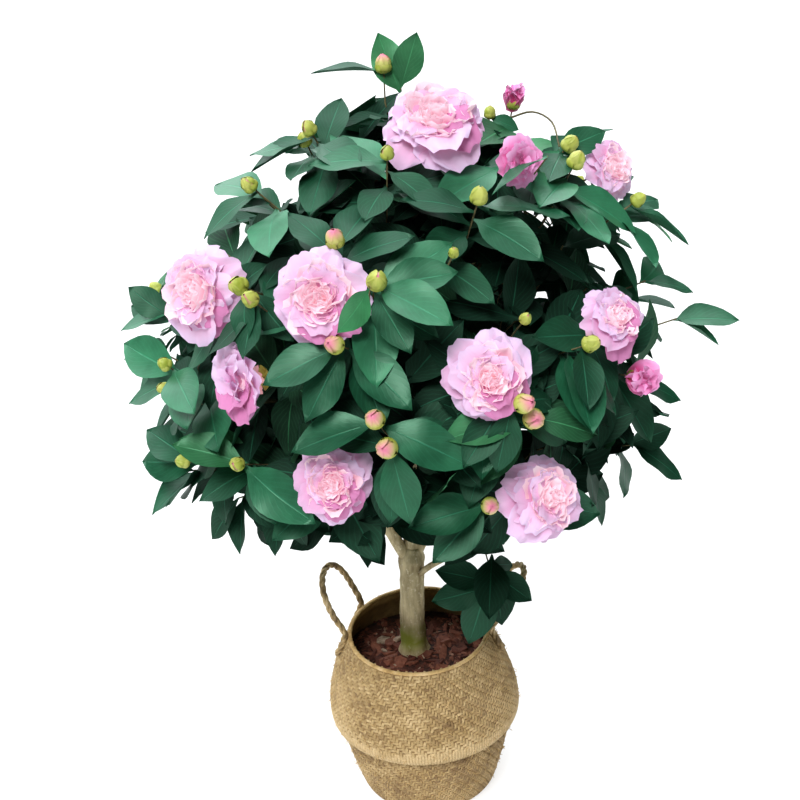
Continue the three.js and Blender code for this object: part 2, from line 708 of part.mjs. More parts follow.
// True when a leaf meets the wood of its mass only at its own root.
function rootedOnly(leaf, wood, root) {
  const { min, max } = leaf.intersect(wood).boundingBox();
  return [0, 1, 2].every((k) => {
    const r = root.getComponent(k);
    return max[k] - r < 9 && r - min[k] < 9;
  });
}

function massSolid(mass, shootsHere) {
  const knots = growTwigs(mass, shootsHere);
  const bodies = twigSolids(knots, mass.gateRadius + 0.6);
  for (const shoot of shootsHere) {
    if (shoot.kind === "bloom") bodies.push(bloomSolid(shoot));
    if (shoot.long) bodies.push(budSolid(shoot.tip, shoot.aim, shoot.long));
  }
  const wood = wasm.Manifold.union(bodies).asOriginal().simplify(FINE);
  const leaves = [];
  for (const shoot of shootsHere) {
    for (const choices of leafPlaces(shoot, LEAF.scale)) {
      for (const choice of choices) {
        if (!shoot.tips && !leafFits(mass, choice)) continue;
        const leaf = leafSolid(choice.root, choice.tip, choice.face, choice.width);
        const box = leaf.boundingBox();
        const meets = leaves.some(
          (l) => boxesMeet(l.box, box) && l.leaf.intersect(leaf).volume() > 0,
        );
        if ((meets || !rootedOnly(leaf, wood, choice.root)) && !shoot.tips) continue;
        leaves.push({ leaf, box });
        break;
      }
    }
  }
  let body = wasm.Manifold.union([wood, ...leaves.map((l) => l.leaf)]);
  for (const other of masses) {
    if (other === mass) continue;
    const across = mass.seed.clone().sub(other.seed).normalize();
    const wall = mix(mass.seed, other.seed, 0.5).dot(across) + 0.2;
    body = body.trimByPlane([across.x, across.y, across.z], wall);
  }
  body = whole(body).asOriginal().simplify(FINE);
  for (const limb of placed) {
    if (boxesMeet(body.boundingBox(), limb.clear.boundingBox())) body = body.subtract(limb.clear);
  }
  return whole(body);
}

for (const mass of masses) {
  const shootsHere = kept.filter((shoot) => shoot.mass === mass);
  addNode("leaves_" + mass.name, massSolid(mass, shootsHere), 0x2f6b43, 0.45);
}

export default group;
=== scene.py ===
import json
import math

import bmesh
import bpy
import numpy as np
from mathutils import Matrix, Vector, noise

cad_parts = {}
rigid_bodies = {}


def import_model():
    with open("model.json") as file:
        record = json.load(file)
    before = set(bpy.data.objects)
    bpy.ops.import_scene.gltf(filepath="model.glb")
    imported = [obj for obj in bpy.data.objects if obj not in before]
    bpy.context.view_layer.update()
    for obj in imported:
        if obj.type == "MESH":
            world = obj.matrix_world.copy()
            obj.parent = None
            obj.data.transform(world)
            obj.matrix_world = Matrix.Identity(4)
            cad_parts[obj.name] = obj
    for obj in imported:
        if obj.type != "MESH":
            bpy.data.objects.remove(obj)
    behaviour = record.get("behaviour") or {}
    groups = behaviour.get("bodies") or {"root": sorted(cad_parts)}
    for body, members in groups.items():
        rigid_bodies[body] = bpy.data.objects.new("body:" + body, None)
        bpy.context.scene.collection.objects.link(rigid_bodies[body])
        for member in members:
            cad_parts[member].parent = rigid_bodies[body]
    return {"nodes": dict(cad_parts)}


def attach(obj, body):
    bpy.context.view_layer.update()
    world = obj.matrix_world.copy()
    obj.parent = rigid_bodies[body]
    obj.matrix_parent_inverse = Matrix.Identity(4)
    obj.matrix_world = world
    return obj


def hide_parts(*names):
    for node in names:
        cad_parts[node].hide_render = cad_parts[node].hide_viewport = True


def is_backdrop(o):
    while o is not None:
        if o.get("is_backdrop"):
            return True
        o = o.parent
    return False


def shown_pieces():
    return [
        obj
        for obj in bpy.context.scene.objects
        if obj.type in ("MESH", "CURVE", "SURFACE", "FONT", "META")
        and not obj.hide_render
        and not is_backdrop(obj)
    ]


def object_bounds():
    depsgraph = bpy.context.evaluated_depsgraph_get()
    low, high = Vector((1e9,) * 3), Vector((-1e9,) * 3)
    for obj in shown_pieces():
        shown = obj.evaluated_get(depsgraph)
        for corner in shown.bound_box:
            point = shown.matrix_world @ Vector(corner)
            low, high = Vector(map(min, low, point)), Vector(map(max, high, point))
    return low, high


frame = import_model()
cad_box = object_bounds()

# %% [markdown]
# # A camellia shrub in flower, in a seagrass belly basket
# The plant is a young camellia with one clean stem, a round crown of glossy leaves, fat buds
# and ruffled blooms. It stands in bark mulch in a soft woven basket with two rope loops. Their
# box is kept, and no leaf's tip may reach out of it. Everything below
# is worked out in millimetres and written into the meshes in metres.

MM = 0.001
GOLDEN = 2.399963
FULL_TURN = 2 * math.pi
UP = Vector((0, 0, 1))
scene = bpy.context.scene


def seeded(seed):
    """Random numbers from 0 to 1, the same on every run."""
    state = [seed]

    def draw():
        state[0] = (state[0] + 0x6D2B79F5) & 0xFFFFFFFF
        a = state[0]
        t = ((a ^ (a >> 15)) * (1 | a)) & 0xFFFFFFFF
        t = ((t + (((t ^ (t >> 7)) * (61 | t)) & 0xFFFFFFFF)) & 0xFFFFFFFF) ^ t
        return ((t ^ (t >> 14)) & 0xFFFFFFFF) / 4294967296

    return draw


def smooth(low, high, x):
    """0 below low, 1 above high, and a soft step between them."""
    t = max(0.0, min(1.0, (x - low) / (high - low)))
    return t * t * (3 - 2 * t)


print("the solids' box in metres:", [tuple(round(c, 3) for c in corner) for corner in cad_box])

# %% [markdown]
# ## Nodes written as sums
# A finish is a small machine of nodes. Adding each node by hand hides what it works out, so one
# class wraps an output and lets Python's + - * ** build the Math nodes. Every other node comes
# from `node`, which sets the node up first and fills its sockets afterwards. The same class
# serves materials and geometry trees.


# %% Sums that add their own Math nodes
class Wire:
    """An output of a node; a sum written with it adds the Math nodes that work it out."""

    def __init__(self, bench, socket):
        self.bench = bench
        self.socket = socket

    def _math(self, operation, *values):
        return self.bench.node("ShaderNodeMath", {"operation": operation}, dict(enumerate(values)))

    def __add__(self, other):
        return self._math("ADD", self, other)

    def __sub__(self, other):
        return self._math("SUBTRACT", self, other)

    def __rsub__(self, other):
        return self._math("SUBTRACT", other, self)

    def __mul__(self, other):
        return self._math("MULTIPLY", self, other)

    def __pow__(self, other):
        return self._math("POWER", self, other)

    def sine(self):
        return self._math("SINE", self)

    def size(self):
        return self._math("ABSOLUTE", self)

    def over(self, level):
        return self._math("GREATER_THAN", self, level)

    def clip(self, low, high):
        """0 at low and 1 at high, held there outside."""
        spans = {"From Min": low, "From Max": high, "Value": self}
        return self.bench.node("ShaderNodeMapRange", {"clamp": True}, spans)

    __radd__ = __add__
    __rmul__ = __mul__


print("sums can be written with + - * and **")


# %% One way to add any other node, for materials and geometry trees
class Bench:
    """A node tree on the bench, with one way to add a node."""

    def __init__(self, tree):
        self.tree = tree

    def put(self, socket, value):
        if isinstance(value, Wire):
            self.tree.links.new(value.socket, socket)
        elif value is not None:
            socket.default_value = value

    def node(self, kind, settings=None, sockets=None, out=0):
        made = self.tree.nodes.new(kind)
        for key, value in (settings or {}).items():
            setattr(made, key, value)
        for key, value in (sockets or {}).items():
            self.put(made.inputs[key], value)
        return Wire(self, made.outputs[out])


class Finish(Bench):
    """A material with one Principled shader."""

    def __init__(self, name, roughness=0.6, **fixed):
        self.material = bpy.data.materials.new(name)
        self.material.use_nodes = True
        super().__init__(self.material.node_tree)
        self.tree.nodes.clear()
        self.shader = self.tree.nodes.new("ShaderNodeBsdfPrincipled")
        output = self.tree.nodes.new("ShaderNodeOutputMaterial")
        self.tree.links.new(self.shader.outputs[0], output.inputs[0])
        self.shader.inputs["Roughness"].default_value = roughness
        for key, value in fixed.items():
            self.shader.inputs[key.replace("_", " ")].default_value = value
        self.place = self.node("ShaderNodeTexCoord", out="Object")

    def set(self, **wires):
        for key, value in wires.items():
            self.put(self.shader.inputs[key.replace("_", " ")], value)

    def noise(self, scale, detail=3, rough=0.55, where=None):
        return self.node("ShaderNodeTexNoise", {}, {
            "Vector": where or self.place, "Scale": scale, "Detail": detail, "Roughness": rough})

    def stretched(self, x, y, z):
        return self.node("ShaderNodeMapping", {}, {"Vector": self.place, "Scale": (x, y, z)})

    def mix(self, share, a, b):
        a = a if isinstance(a, Wire) else (*a, 1)
        b = b if isinstance(b, Wire) else (*b, 1)
        return self.node("ShaderNodeMix", {"data_type": "RGBA"}, {0: share, 6: a, 7: b}, out=2)

    def attribute(self, name):
        return self.node("ShaderNodeAttribute", {"attribute_name": name}, out="Fac")

    def uv(self):
        """How far across and along the piece's own map a point is."""
        flat = self.node("ShaderNodeUVMap", {"uv_map": "UVMap"})
        split = self.node("ShaderNodeSeparateXYZ", {}, {0: flat})
        return split, Wire(self, split.socket.node.outputs[1])

    def bump(self, height, distance, strength=1.0):
        sockets = {"Height": height, "Distance": distance * MM, "Strength": strength}
        self.set(Normal=self.node("ShaderNodeBump", {}, sockets))


print("the wrapper and the bench are ready")

# %% [markdown]
# ## The plan of the plant
# The trunk, the leader and the main limbs are few enough to name one by one. Sixteen boughs
# follow by rule: each leaves its limb and rises, with a little sag, to the space of its own mass of
# leaves. These are the same sizes and the same rule that the plain solids were made from, so
# wood and leaves stay where the solids are.

# %% Sizes of trunk, limbs, crown and masses
BASKET_RIM = 238
TRUNK_RINGS = [  # height, x, y, radius
    (200.3, -7, 10, 22), (206, -7, 10, 19), (216, -7, 10, 17.6), (246, -7, 10, 16.8),
    (285, -5, 10, 16.2), (322, -3, 10, 16.6), (344, -2, 10, 18), (354, -1, 10, 15),
]
LIMBS = [  # name, parent, share of the parent, first and last radius, points on the way
    ("leader", "trunk", 0.86, (11.5, 6),
     [(1, 12, 400), (5, 12, 480), (11, 16, 580), (13, 8, 690), (7, 0, 790)]),
    ("main_left", "trunk", 0.86, (8.6, 5.6),
     [(-29, 2, 396), (-59, -8, 470), (-93, -16, 548), (-121, -18, 612)]),
    ("main_right", "trunk", 0.88, (8, 5.4),
     [(27, 10, 398), (61, 0, 474), (97, -12, 548), (125, -18, 612)]),
    ("main_front", "leader", 0.1, (7.4, 5), [(7, -30, 440), (13, -72, 520), (17, -112, 606)]),
    ("main_back", "leader", 0.12, (7.4, 5), [(5, 50, 440), (3, 86, 520), (3, 118, 606)]),
    ("low_twig", "trunk", 0.72, (4.6, 3), [(27, -18, 350), (61, -44, 378), (91, -64, 394)]),
]
CROWN = {"x": 11, "y": 0, "z": 660, "radius": 338, "rise": 320, "drop": 255, "depth": 0.96}
MASSES = [  # name, bearing, reach, height, limb, share of the limb
    ("top", -50, 90, 930, "leader", 1), ("upper_right", -5, 240, 850, "leader", 0.84),
    ("upper_left", -132, 290, 775, "leader", 0.66), ("upper_front", -103, 270, 815, "leader", 0.75),
    ("upper_back", 45, 270, 790, "leader", 0.7), ("far_back", 150, 260, 810, "leader", 0.79),
    ("front", -74, 305, 735, "main_front", 0.97), ("front_right", -42, 318, 720, "main_right", 0.82),
    ("right", -6, 315, 640, "main_right", 0.97), ("front_left", -108, 305, 620, "main_front", 0.8),
    ("low_front", -62, 298, 570, "main_front", 0.62), ("left", 180, 300, 660, "main_left", 0.97),
    ("low_left", -150, 285, 545, "main_left", 0.74), ("back", 100, 290, 720, "main_back", 0.97),
    ("low_back_right", 50, 290, 580, "main_back", 0.62),
    ("low_back_left", 120, 290, 570, "main_back", 0.76),
]
SEED_SHARE = 0.7
HANGING_MIDDLE = (87, -92, 335)
BOUGH = {"thick": 4.8, "thin": 3.4, "gate": 0.46, "sag": 0.1}
THICKEST_HANGING_TWIG = 2.8
print(len(LIMBS), "limbs and", len(MASSES), "masses are planned")


# %% Points on the plan
def around(bearing, reach, height):
    a = math.radians(bearing)
    return Vector((CROWN["x"] + reach * math.cos(a), CROWN["y"] + reach * math.sin(a), height))


def facing(bearing, lift):
    a, b = math.radians(bearing), math.radians(lift)
    return Vector((math.cos(a) * math.cos(b), math.sin(a) * math.cos(b), math.sin(b)))


def along_limb(path, share):
    """The point at a share of a path's length."""
    lengths = [(b - a).length for a, b in zip(path, path[1:])]
    left = share * sum(lengths)
    i = 0
    while i < len(lengths) - 1 and left > lengths[i]:
        left -= lengths[i]
        i += 1
    return path[i].lerp(path[i + 1], min(1, left / lengths[i]))


def taper(count, first, last):
    return [first + (last - first) * i / (count - 1) for i in range(count)]


limbs = {"trunk": ([Vector((x, y, z)) for z, x, y, _ in TRUNK_RINGS],
                   [radius for *_, radius in TRUNK_RINGS])}
for name, parent, at, ends, by in LIMBS:
    path = [along_limb(limbs[parent][0], at), *map(Vector, by)]
    limbs[name] = (path, taper(len(path), *ends))

heart = Vector((CROWN["x"], CROWN["y"], CROWN["z"]))
masses = []
for name, bearing, reach, height, parent, at in MASSES:
    middle = around(bearing, reach, height)
    start = along_limb(limbs[parent][0], at)
    end = start.lerp(middle, BOUGH["gate"])
    bend = start.lerp(end, 0.5) - UP * BOUGH["sag"] * (start - end).length
    limbs["bough_" + name] = ([start, bend, end], taper(3, BOUGH["thick"], BOUGH["thin"]))
    masses.append({"name": name, "middle": middle, "seed": heart.lerp(middle, SEED_SHARE),
                   "gate": end, "most": BOUGH["thin"]})
twig_path = limbs["low_twig"][0]
masses.append({"name": "hanging", "middle": Vector(HANGING_MIDDLE), "seed": Vector(HANGING_MIDDLE),
               "gate": twig_path[-1], "most": THICKEST_HANGING_TWIG})
print(len(limbs), "limbs and boughs are drawn to", len(masses), "masses")

# %% [markdown]
# ## Where shoots, buds and blooms stand
# A camellia sets its buds and blooms at the ends of shoots on the outside of the crown. Each
# bloom is named by its bearing round the stem, its reach, its height, its width and the way it
# looks. Leafy shoots between them wind round the crown by the golden angle, which spreads
# them evenly without rows. The solids have only some of these shoots. Three more windings are
# laid between them here, so the foliage closes up as on a real plant, and a few small shoots
# are set last. Some blooms and buds stand or look a little aside of their solids.

# %% Blooms, buds and shoots that stand out of the round outline
BLOOMS = [  # bearing, reach, height, width, bearing and lift of its face
    (-65, 108, 951, 122, -88, 56), (-47, 192, 913, 64, -66, 14), (20, 156, 931, 34, 10, 78),
    (-8, 250, 868, 76, -50, 25), (-138, 293, 813, 106, -122, 22), (-108, 280, 820, 106, -98, 26),
    (-123, 311, 734, 104, -138, 8), (-107, 309, 626, 90, -100, 18), (-75, 310, 733, 96, -84, 24),
    (-63, 301, 575, 100, -58, 20), (-46, 313, 759, 86, -50, 34), (-40, 320, 681, 44, -60, 10),
    (40, 284, 690, 86, 40, 20), (62, 275, 800, 100, 62, 28), (94, 300, 655, 92, 94, 18),
    (121, 258, 742, 84, 121, 28), (150, 300, 700, 88, 150, 20), (84, 292, 560, 86, 84, 14),
    (157, 296, 600, 80, 157, 16),
]
BUDS = [  # bearing, reach, height, length
    (-135, 124, 948, 21), (-93, 148, 930, 19), (-139, 203, 903, 22), (-106, 242, 866, 25),
    (-96, 270, 834, 27), (-126, 283, 826, 25), (-122, 293, 817, 22), (-104, 298, 778, 25),
    (-97, 317, 703, 26), (-95, 323, 675, 28), (-67, 212, 889, 24), (-25, 217, 890, 25),
    (-15, 201, 900, 24), (-13, 276, 834, 21), (-54, 313, 743, 23), (-71, 333, 710, 26),
    (-68, 324, 686, 28), (-76, 304, 585, 24), (-147, 309, 600, 20), (-126, 322, 638, 20),
    (-146, 318, 722, 19), (30, 262, 800, 24), (78, 284, 748, 25), (112, 290, 740, 24),
    (168, 310, 723, 22), (140, 302, 610, 23), (55, 306, 640, 24), (104, 240, 868, 23),
]
PINK_BUDS = {3, 7, 8, 9, 15, 16, 17, 23, 26}
SPRIGS = [
    {"end": (7, 30, 985), "bud": 25, "leaves": [(-76, 30, 997)]},
    {"end": (25, 30, 964), "face": (0, -1, 0.4), "leaves": [(49, 30, 1026), (1, 36, 1027)]},
    {"end": (11, -16, 944), "leaves": [(-55, -20, 934), (-7, -60, 960)]},
    {"end": (-84, -70, 931), "bud": 20,
     "leaves": [(-147, -80, 933), (-41, -92, 926), (-101, -128, 916)]},
    {"end": (-267, -60, 740), "leaves": [(-325, -60, 728), (-313, -44, 770), (-315, -20, 742)]},
    {"end": (-283, -50, 690), "leaves": [(-327, -52, 686), (-319, -64, 640), (-315, 0, 676)]},
    {"end": (-253, -112, 560), "leaves": [(-310, -110, 570), (-309, -128, 516), (-285, -170, 556)]},
    {"end": (-197, -164, 546), "leaves": [(-239, -162, 492), (-204, -186, 484), (-147, -190, 500)]},
    {"end": (-147, -174, 540), "leaves": [(-162, -196, 484), (-131, -186, 482), (-97, -188, 512)]},
    {"end": (333, -56, 686), "leaves": [(382, -70, 656), (410, -50, 684)]},
    {"end": (235, 40, 884), "leaves": [(273, 40, 899), (265, 64, 850)]},
    {"end": (295, -20, 806), "leaves": [(340, -20, 776), (321, 30, 800)]},
    {"end": (295, -60, 738), "leaves": [(354, -60, 727), (333, 0, 742)]},
    {"end": (271, -110, 550), "leaves": [(334, -120, 512), (323, -92, 560), (261, -160, 508)]},
    {"end": (217, -120, 512), "leaves": [(236, -132, 456), (255, -84, 470), (183, -168, 476)]},
]
HANGING_LEAVES = [
    (19, -92, 336), (27, -78, 378), (65, -106, 276), (146, -96, 331),
    (131, -50, 362), (111, -96, 296), (87, -140, 340),
]
# Slits where daylight shows through, seen from the eye: x and height where the line of sight
# meets y = 0, and a radius. The line ends half as far again behind that.
EYE = Vector((0, -1600, 1310))
SIGHT_REACH = 1.5
SLITS = [(-95, 890, 13), (-120, 865, 9), (175, 915, 15), (175, 705, 6), (255, 735, 4),
         (15, 495, 6), (155, 525, 6), (-215, 465, 8),
         (-24, 384, 13), (-12, 368, 13), (4, 374, 11)]
SHOOT = 74
LEAF = 88
FILLERS = [  # shoots, share of the crown's outline, first angle; the solids have only the first two
    (56, 0.82, 0.4), (5, 0.6, 1.9), (70, 0.87, 2.7), (60, 0.7, 0.9), (24, 0.5, 4.1),
]
print(len(BLOOMS), "blooms,", len(BUDS), "buds and", len(SPRIGS), "single shoots are named")


# %% The crown's outline and the spaces of the masses
def crown_radius(u):
    level = 1 - u**1.55 if u > 0 else 1 - (-u) ** 2.6
    return CROWN["radius"] * max(0, level) ** (0.72 if u > 0 else 0.6)


def out_of_crown(p):
    """How far a point stands outside the crown's outline at its own height; below zero is inside."""
    u = (p.z - CROWN["z"]) / (CROWN["rise"] if p.z > CROWN["z"] else CROWN["drop"])
    return math.hypot(p.x - CROWN["x"], (p.y - CROWN["y"]) / CROWN["depth"]) - crown_radius(u)


def nearest_mass(p):
    return min(masses, key=lambda mass: (mass["seed"] - p).length)


def outside(mass, p):
    """How far a point lies outside the space of a mass; below zero is inside."""
    most = -math.inf
    for other in masses:
        if other is not mass:
            across = (other["seed"] - mass["seed"]).normalized()
            most = max(most, (p - mass["seed"].lerp(other["seed"], 0.5)).dot(across))
    return most


def drawn_inside(mass, p, room):
    moved, t = p, 0.05
    while outside(mass, moved) > -room and t < 1:
        moved = p.lerp(mass["seed"], t)
        t += 0.05
    return moved


def outward(p, lift):
    way = Vector((p.x - CROWN["x"], p.y - CROWN["y"], (p.z - CROWN["z"] + 60) * 0.8))
    return (way.normalized() + UP * lift).normalized()


print("the crown is", round(2 * crown_radius(0)), "mm wide at its widest")


# %% The shoots, in the same order and with the same draws as the solids
random = seeded(41)
shoots = []


def add_shoot(kind, tip, **more):
    turn = random() * FULL_TURN
    sway = Vector((random() - 0.5, random() - 0.5, random() - 0.5))
    aim = (more.pop("aim", None) or outward(tip, 0.35)) + sway * 0.5
    draws = [[random() for _ in range(4)] for _ in range(8)]
    shoots.append({"kind": kind, "tip": tip, "length": SHOOT, "count": 5, **more,
                   "aim": aim.normalized(), "turn": turn, "draws": draws})


for number, (bearing, reach, height, wide, face_bearing, face_lift) in enumerate(BLOOMS):
    face = facing(face_bearing, face_lift)
    centre = around(bearing, reach, height)
    add_shoot("bloom", centre - face * 0.2 * wide, centre=centre, face=face, wide=wide, count=6,
              aim=face + UP * 0.3, number=number)
for number, (bearing, reach, height, long) in enumerate(BUDS):
    add_shoot("bud", around(bearing, reach, height), long=long, count=6, pink=number in PINK_BUDS)
for sprig in SPRIGS:
    add_shoot("sprig", Vector(sprig["end"]), long=sprig.get("bud"), length=50, pink=sprig is SPRIGS[0],
              tips=[Vector(p) for p in sprig["leaves"]], show=sprig.get("face"))
add_shoot("hanging", Vector((91, -88, 352)), tips=[Vector(p) for p in HANGING_LEAVES], length=24,
          show=(0.1, -0.8, 0.6), aim=Vector((0, -0.6, -0.8)))
print(len(shoots), "shoots stand where the plan names them")


# %% Leafy shoots wound between them
def add_fillers(count, share, first):
    """Leafy shoots wound round the crown by the golden angle, at a share of its outline."""
    for k in range(count):
        u = 1 - 2 * (k + 0.5) / count
        reach = share * (0.93 + 0.1 * random()) * crown_radius(u)
        a = first + k * GOLDEN
        height = CROWN["z"] + share * u * (CROWN["rise"] if u > 0 else CROWN["drop"])
        x, y = reach * math.cos(a), reach * CROWN["depth"] * math.sin(a)
        add_shoot("filler", Vector((CROWN["x"] + x, CROWN["y"] + y, height)))


for winding in FILLERS:
    add_fillers(*winding)
print(len(shoots), "shoots with the leafy ones")


# %% Shoots that would stand in the way are left out
def near_line(p, a, b):
    """How far a point is from the straight line between two others."""
    line = b - a
    return (a + line * max(0, min(1, (p - a).dot(line) / line.length_squared)) - p).length


def in_slit(points, spare):
    return any(near_line(p, EYE, EYE + (Vector((x, 0, z)) - EYE) * SIGHT_REACH) < radius + spare
               for x, z, radius in SLITS for p in points)


# Small shoots set last: leaves that lie across a bloom, and lesser buds.
LATE_SPRIGS = [
    {"end": (-24, -298, 840), "face": (0.75, -0.55, 0.35), "leaves": [(-53, -341, 811)]},
    {"end": (171, -164, 923), "face": (0, 0.26, 1), "leaves": [(104, -188, 905)]},
    {"end": (129, 52, 917), "bud": 18, "face": (0, -1, 0.4),
     "leaves": [(163, 44, 903), (152, 36, 893)]},
    {"end": (198, -50, 899), "face": (-0.2, -1, 0.5), "leaves": [(175, -85, 884), (254, -30, 917)]},
    {"end": (-143, -134, 906), "bud": 17}, {"end": (-258, -178, 697), "bud": 17},
    {"end": (131, -265, 781), "bud": 16}, {"end": (68, -245, 853), "bud": 14},
]
for sprig in LATE_SPRIGS:
    add_shoot("sprig", Vector(sprig["end"]), long=sprig.get("bud"), length=40, pink=False,
              tips=[Vector(p) for p in sprig.get("leaves", [])], show=sprig.get("face"))


# Room kept by a leafy shoot round a slit, a bloom (more for a wide one) and a bud, and how far
# inside the space of its mass every shoot's tip and base stand.
ROOM = {"slit": 4, "bloom": 16, "bloom_share": 0.45, "bud": 34, "tip": 4, "base": 6}


def crowded(index, shoot):
    """True for a leafy shoot that would stand where a bloom, bud or single shoot already is."""
    if shoot["kind"] != "filler":
        return False
    if nearest_mass(shoot["tip"])["name"] == "hanging" or in_slit([shoot["tip"]], ROOM["slit"]):
        return True
    for other in shoots[:index]:
        if other["kind"] != "filler":
            room = ROOM["bud"]
            if other["kind"] == "bloom":
                room = ROOM["bloom"] + ROOM["bloom_share"] * other["wide"]
            if (other.get("centre", other["tip"]) - shoot["tip"]).length < room:
                return True
    return False


kept = [shoot for index, shoot in enumerate(shoots) if not crowded(index, shoot)]
for shoot in kept:
    shoot["mass"] = nearest_mass(shoot["tip"])
    shoot["tip"] = drawn_inside(shoot["mass"], shoot["tip"], ROOM["tip"])
    base = shoot["tip"] - shoot["aim"] * shoot["length"]
    shoot["base"] = drawn_inside(shoot["mass"], base, ROOM["base"])
blooms = [shoot for shoot in kept if shoot["kind"] == "bloom"]
print(len(kept), "shoots are kept of", len(shoots))

# %% [markdown]
# ## Twigs
# In each space a twig enters from the bough and every shoot joins the nearest knot that already
# grows there, so twigs fork like the real ones and their load adds up towards the bough. A
# pipe's area grows with what it carries, and a twig's does too: its radius follows the count of
# shoots beyond it to a small power. Each chain of knots is rounded with a Catmull-Rom curve,
# because wood never bends at a sharp corner.


# %% Twigs that fork inside each space
# hub: how far the first fork stands towards the mass; homing: how much a knot far from the bough
# is shunned; tries: knots looked at; bend: how early a twig turns into its shoot; halfway: a span
# that gets one more knot; room: air to a limb; radius = unit * load ** power, at most `step`
# times thicker at a fork than after it.
TWIG = {"hub": 0.36, "homing": 0.35, "tries": 6, "bend": 0.35, "halfway": 45, "room": 3.4,
        "unit": 0.95, "power": 0.42, "step": 1.15}


def clear_of_limbs(p, room):
    return all(near_line(p, a, b) > radius + room for path, radii in limbs.values()
               for a, b, radius in zip(path, path[1:], radii))


def free_way(a, b):
    stops = (0.15, 0.3, 0.45, 0.6, 0.75, 0.9, 1)
    return all(clear_of_limbs(a.lerp(b, t), TWIG["room"]) for t in stops)


def grow_twigs(mass, shoots_here):
    start = mass["gate"]
    hub = start.lerp(mass["middle"], TWIG["hub"])
    if mass["name"] == "hanging":
        hub = shoots_here[0]["base"]
    knots = [{"p": start, "parent": -1, "load": 0}, {"p": hub, "parent": 0, "load": 0}]
    for shoot in sorted(shoots_here, key=lambda s: (s["base"] - start).length):
        base = shoot["base"]
        open_knots = [i for i in range(1, len(knots)) if "end" not in knots[i]]
        reach = {}
        for i in open_knots:
            p = knots[i]["p"]
            reach[i] = (p - base).length + TWIG["homing"] * (p - start).length
        nearest = sorted(open_knots, key=reach.get)[:TWIG["tries"]]
        parent = next((i for i in nearest if free_way(knots[i]["p"], base)), nearest[0])
        origin = knots[parent]["p"]
        span = (origin - base).length
        bend = base - shoot["aim"] * TWIG["bend"] * span
        if span > TWIG["halfway"]:
            halfway = origin.lerp(bend, 0.5).lerp(bend.lerp(base, 0.5), 0.5)
            knots.append({"p": halfway, "parent": parent, "load": 0})
            parent = len(knots) - 1
        knots.append({"p": base, "parent": parent, "load": 0})
        knots.append({"p": shoot["tip"], "parent": len(knots) - 1, "load": 0, "end": shoot})
        i = len(knots) - 1
        while i >= 0:
            knots[i]["load"] += 1
            i = knots[i]["parent"]
    return knots


def twig_chains(mass, knots):
    """Each run of knots from a fork to a tip, with the radius at each knot."""
    drawn = set()
    for last in [i for i, knot in enumerate(knots) if "end" in knot]:
        chain = []
        i = last
        while i >= 0:
            chain.insert(0, i)
            if i in drawn:
                break
            drawn.add(i)
            i = knots[i]["parent"]
        radii = [min(mass["most"], TWIG["unit"] * knots[i]["load"] ** TWIG["power"]) for i in chain]
        if chain[0] != 0:
            radii[0] = min(radii[0], TWIG["step"] * radii[1])
        yield [knots[i]["p"] for i in chain], radii


print("a twig that carries one shoot is", 2 * TWIG["unit"], "mm thick")


# %% Twigs drawn as smooth lines
def rounded(path, radii, steps):
    """A smooth path through the points, with the radius carried along it."""
    ends = [path[0] * 2 - path[1], *path, path[-1] * 2 - path[-2]]
    out, sizes = [], []
    for i in range(len(path) - 1):
        a, b, c, d = ends[i:i + 4]
        for k in range(steps):
            t = k / steps
            out.append(0.5 * (2 * b + (c - a) * t + (2 * a - 5 * b + 4 * c - d) * t**2
                              + (3 * b - a - 3 * c + d) * t**3))
            sizes.append(radii[i] + (radii[i + 1] - radii[i]) * t)
    return out + [path[-1]], sizes + [radii[-1]]


def rounded_line(path, steps):
    """The same for a line without a thickness of its own."""
    return rounded(path, [0] * len(path), steps)[0]


chains = []
for mass in masses:
    here = [shoot for shoot in kept if shoot["mass"] is mass]
    chains += [rounded(*chain, 3) for chain in twig_chains(mass, grow_twigs(mass, here))]
# One bare twig arches over the top on the right, to the small shoot that hangs there.
ARCHING = [(152, 54, 914), (179, 44, 922), (198, 12, 916), (199, -44, 901)]
chains.append(rounded([Vector(p) for p in ARCHING], [1.3, 1.2, 1.1, 1.0], 4))
print(len(chains), "twigs, the longest of", max(len(path) for path, _ in chains), "rings")

# %% [markdown]
# ## Where each leaf goes
# Camellia leaves stand singly on the shoot, each turned from the last by the golden angle, the
# lower ones opening wider and drooping a little. A leaf with no room turns about its stem,
# then opens wider, and then is tried smaller, and one that would still leave the crown, cross
# a limb, cover a bloom or cut through an outer leaf is left out. Only places are worked out
# here; the leaves follow later.

# %% Whether a leaf has room
LEAF_TRIES = [(shift, wider, shrink) for wider, shrink in [(0, 1), (24, 1), (46, 0.92), (10, 0.8)]
              for shift in [0, 0.5, -0.5, 1, -1, 1.5, -1.5, 2.1, -2.1, 2.8]]
FIRST_LEAF = {"bloom": 0.3, "bud": 0.08, "filler": 0.04}
# limb: air kept to a limb; unseen: how deep in the crown leaves may cross; leafy and other: how
# far past the outline leaves may reach, and past: how far they may reach past their shoot's tip.
LEAF_ROOM = {"limb": 5, "unseen": 34, "leafy": 4, "other": 26, "past": 34}
CELL = 45  # leaves are looked up by cubes of this side


def across_of(way):
    side = UP.copy() if abs(way.z) < 0.9 else Vector((1, 0, 0))
    side = (side - way * side.dot(way)).normalized()
    return side, way.cross(side)


def in_blooms(p):
    """True inside the round of a bloom, or in the open space before its face."""
    for bloom in blooms:
        apart = p - bloom["centre"]
        along = apart.dot(bloom["face"])
        across = (apart - bloom["face"] * along).length
        if (along / 0.34) ** 2 + (across / 0.5) ** 2 < bloom["wide"] ** 2:
            return True
        if 0 < along < bloom["wide"] and across < 0.4 * bloom["wide"]:
            return True
    return False


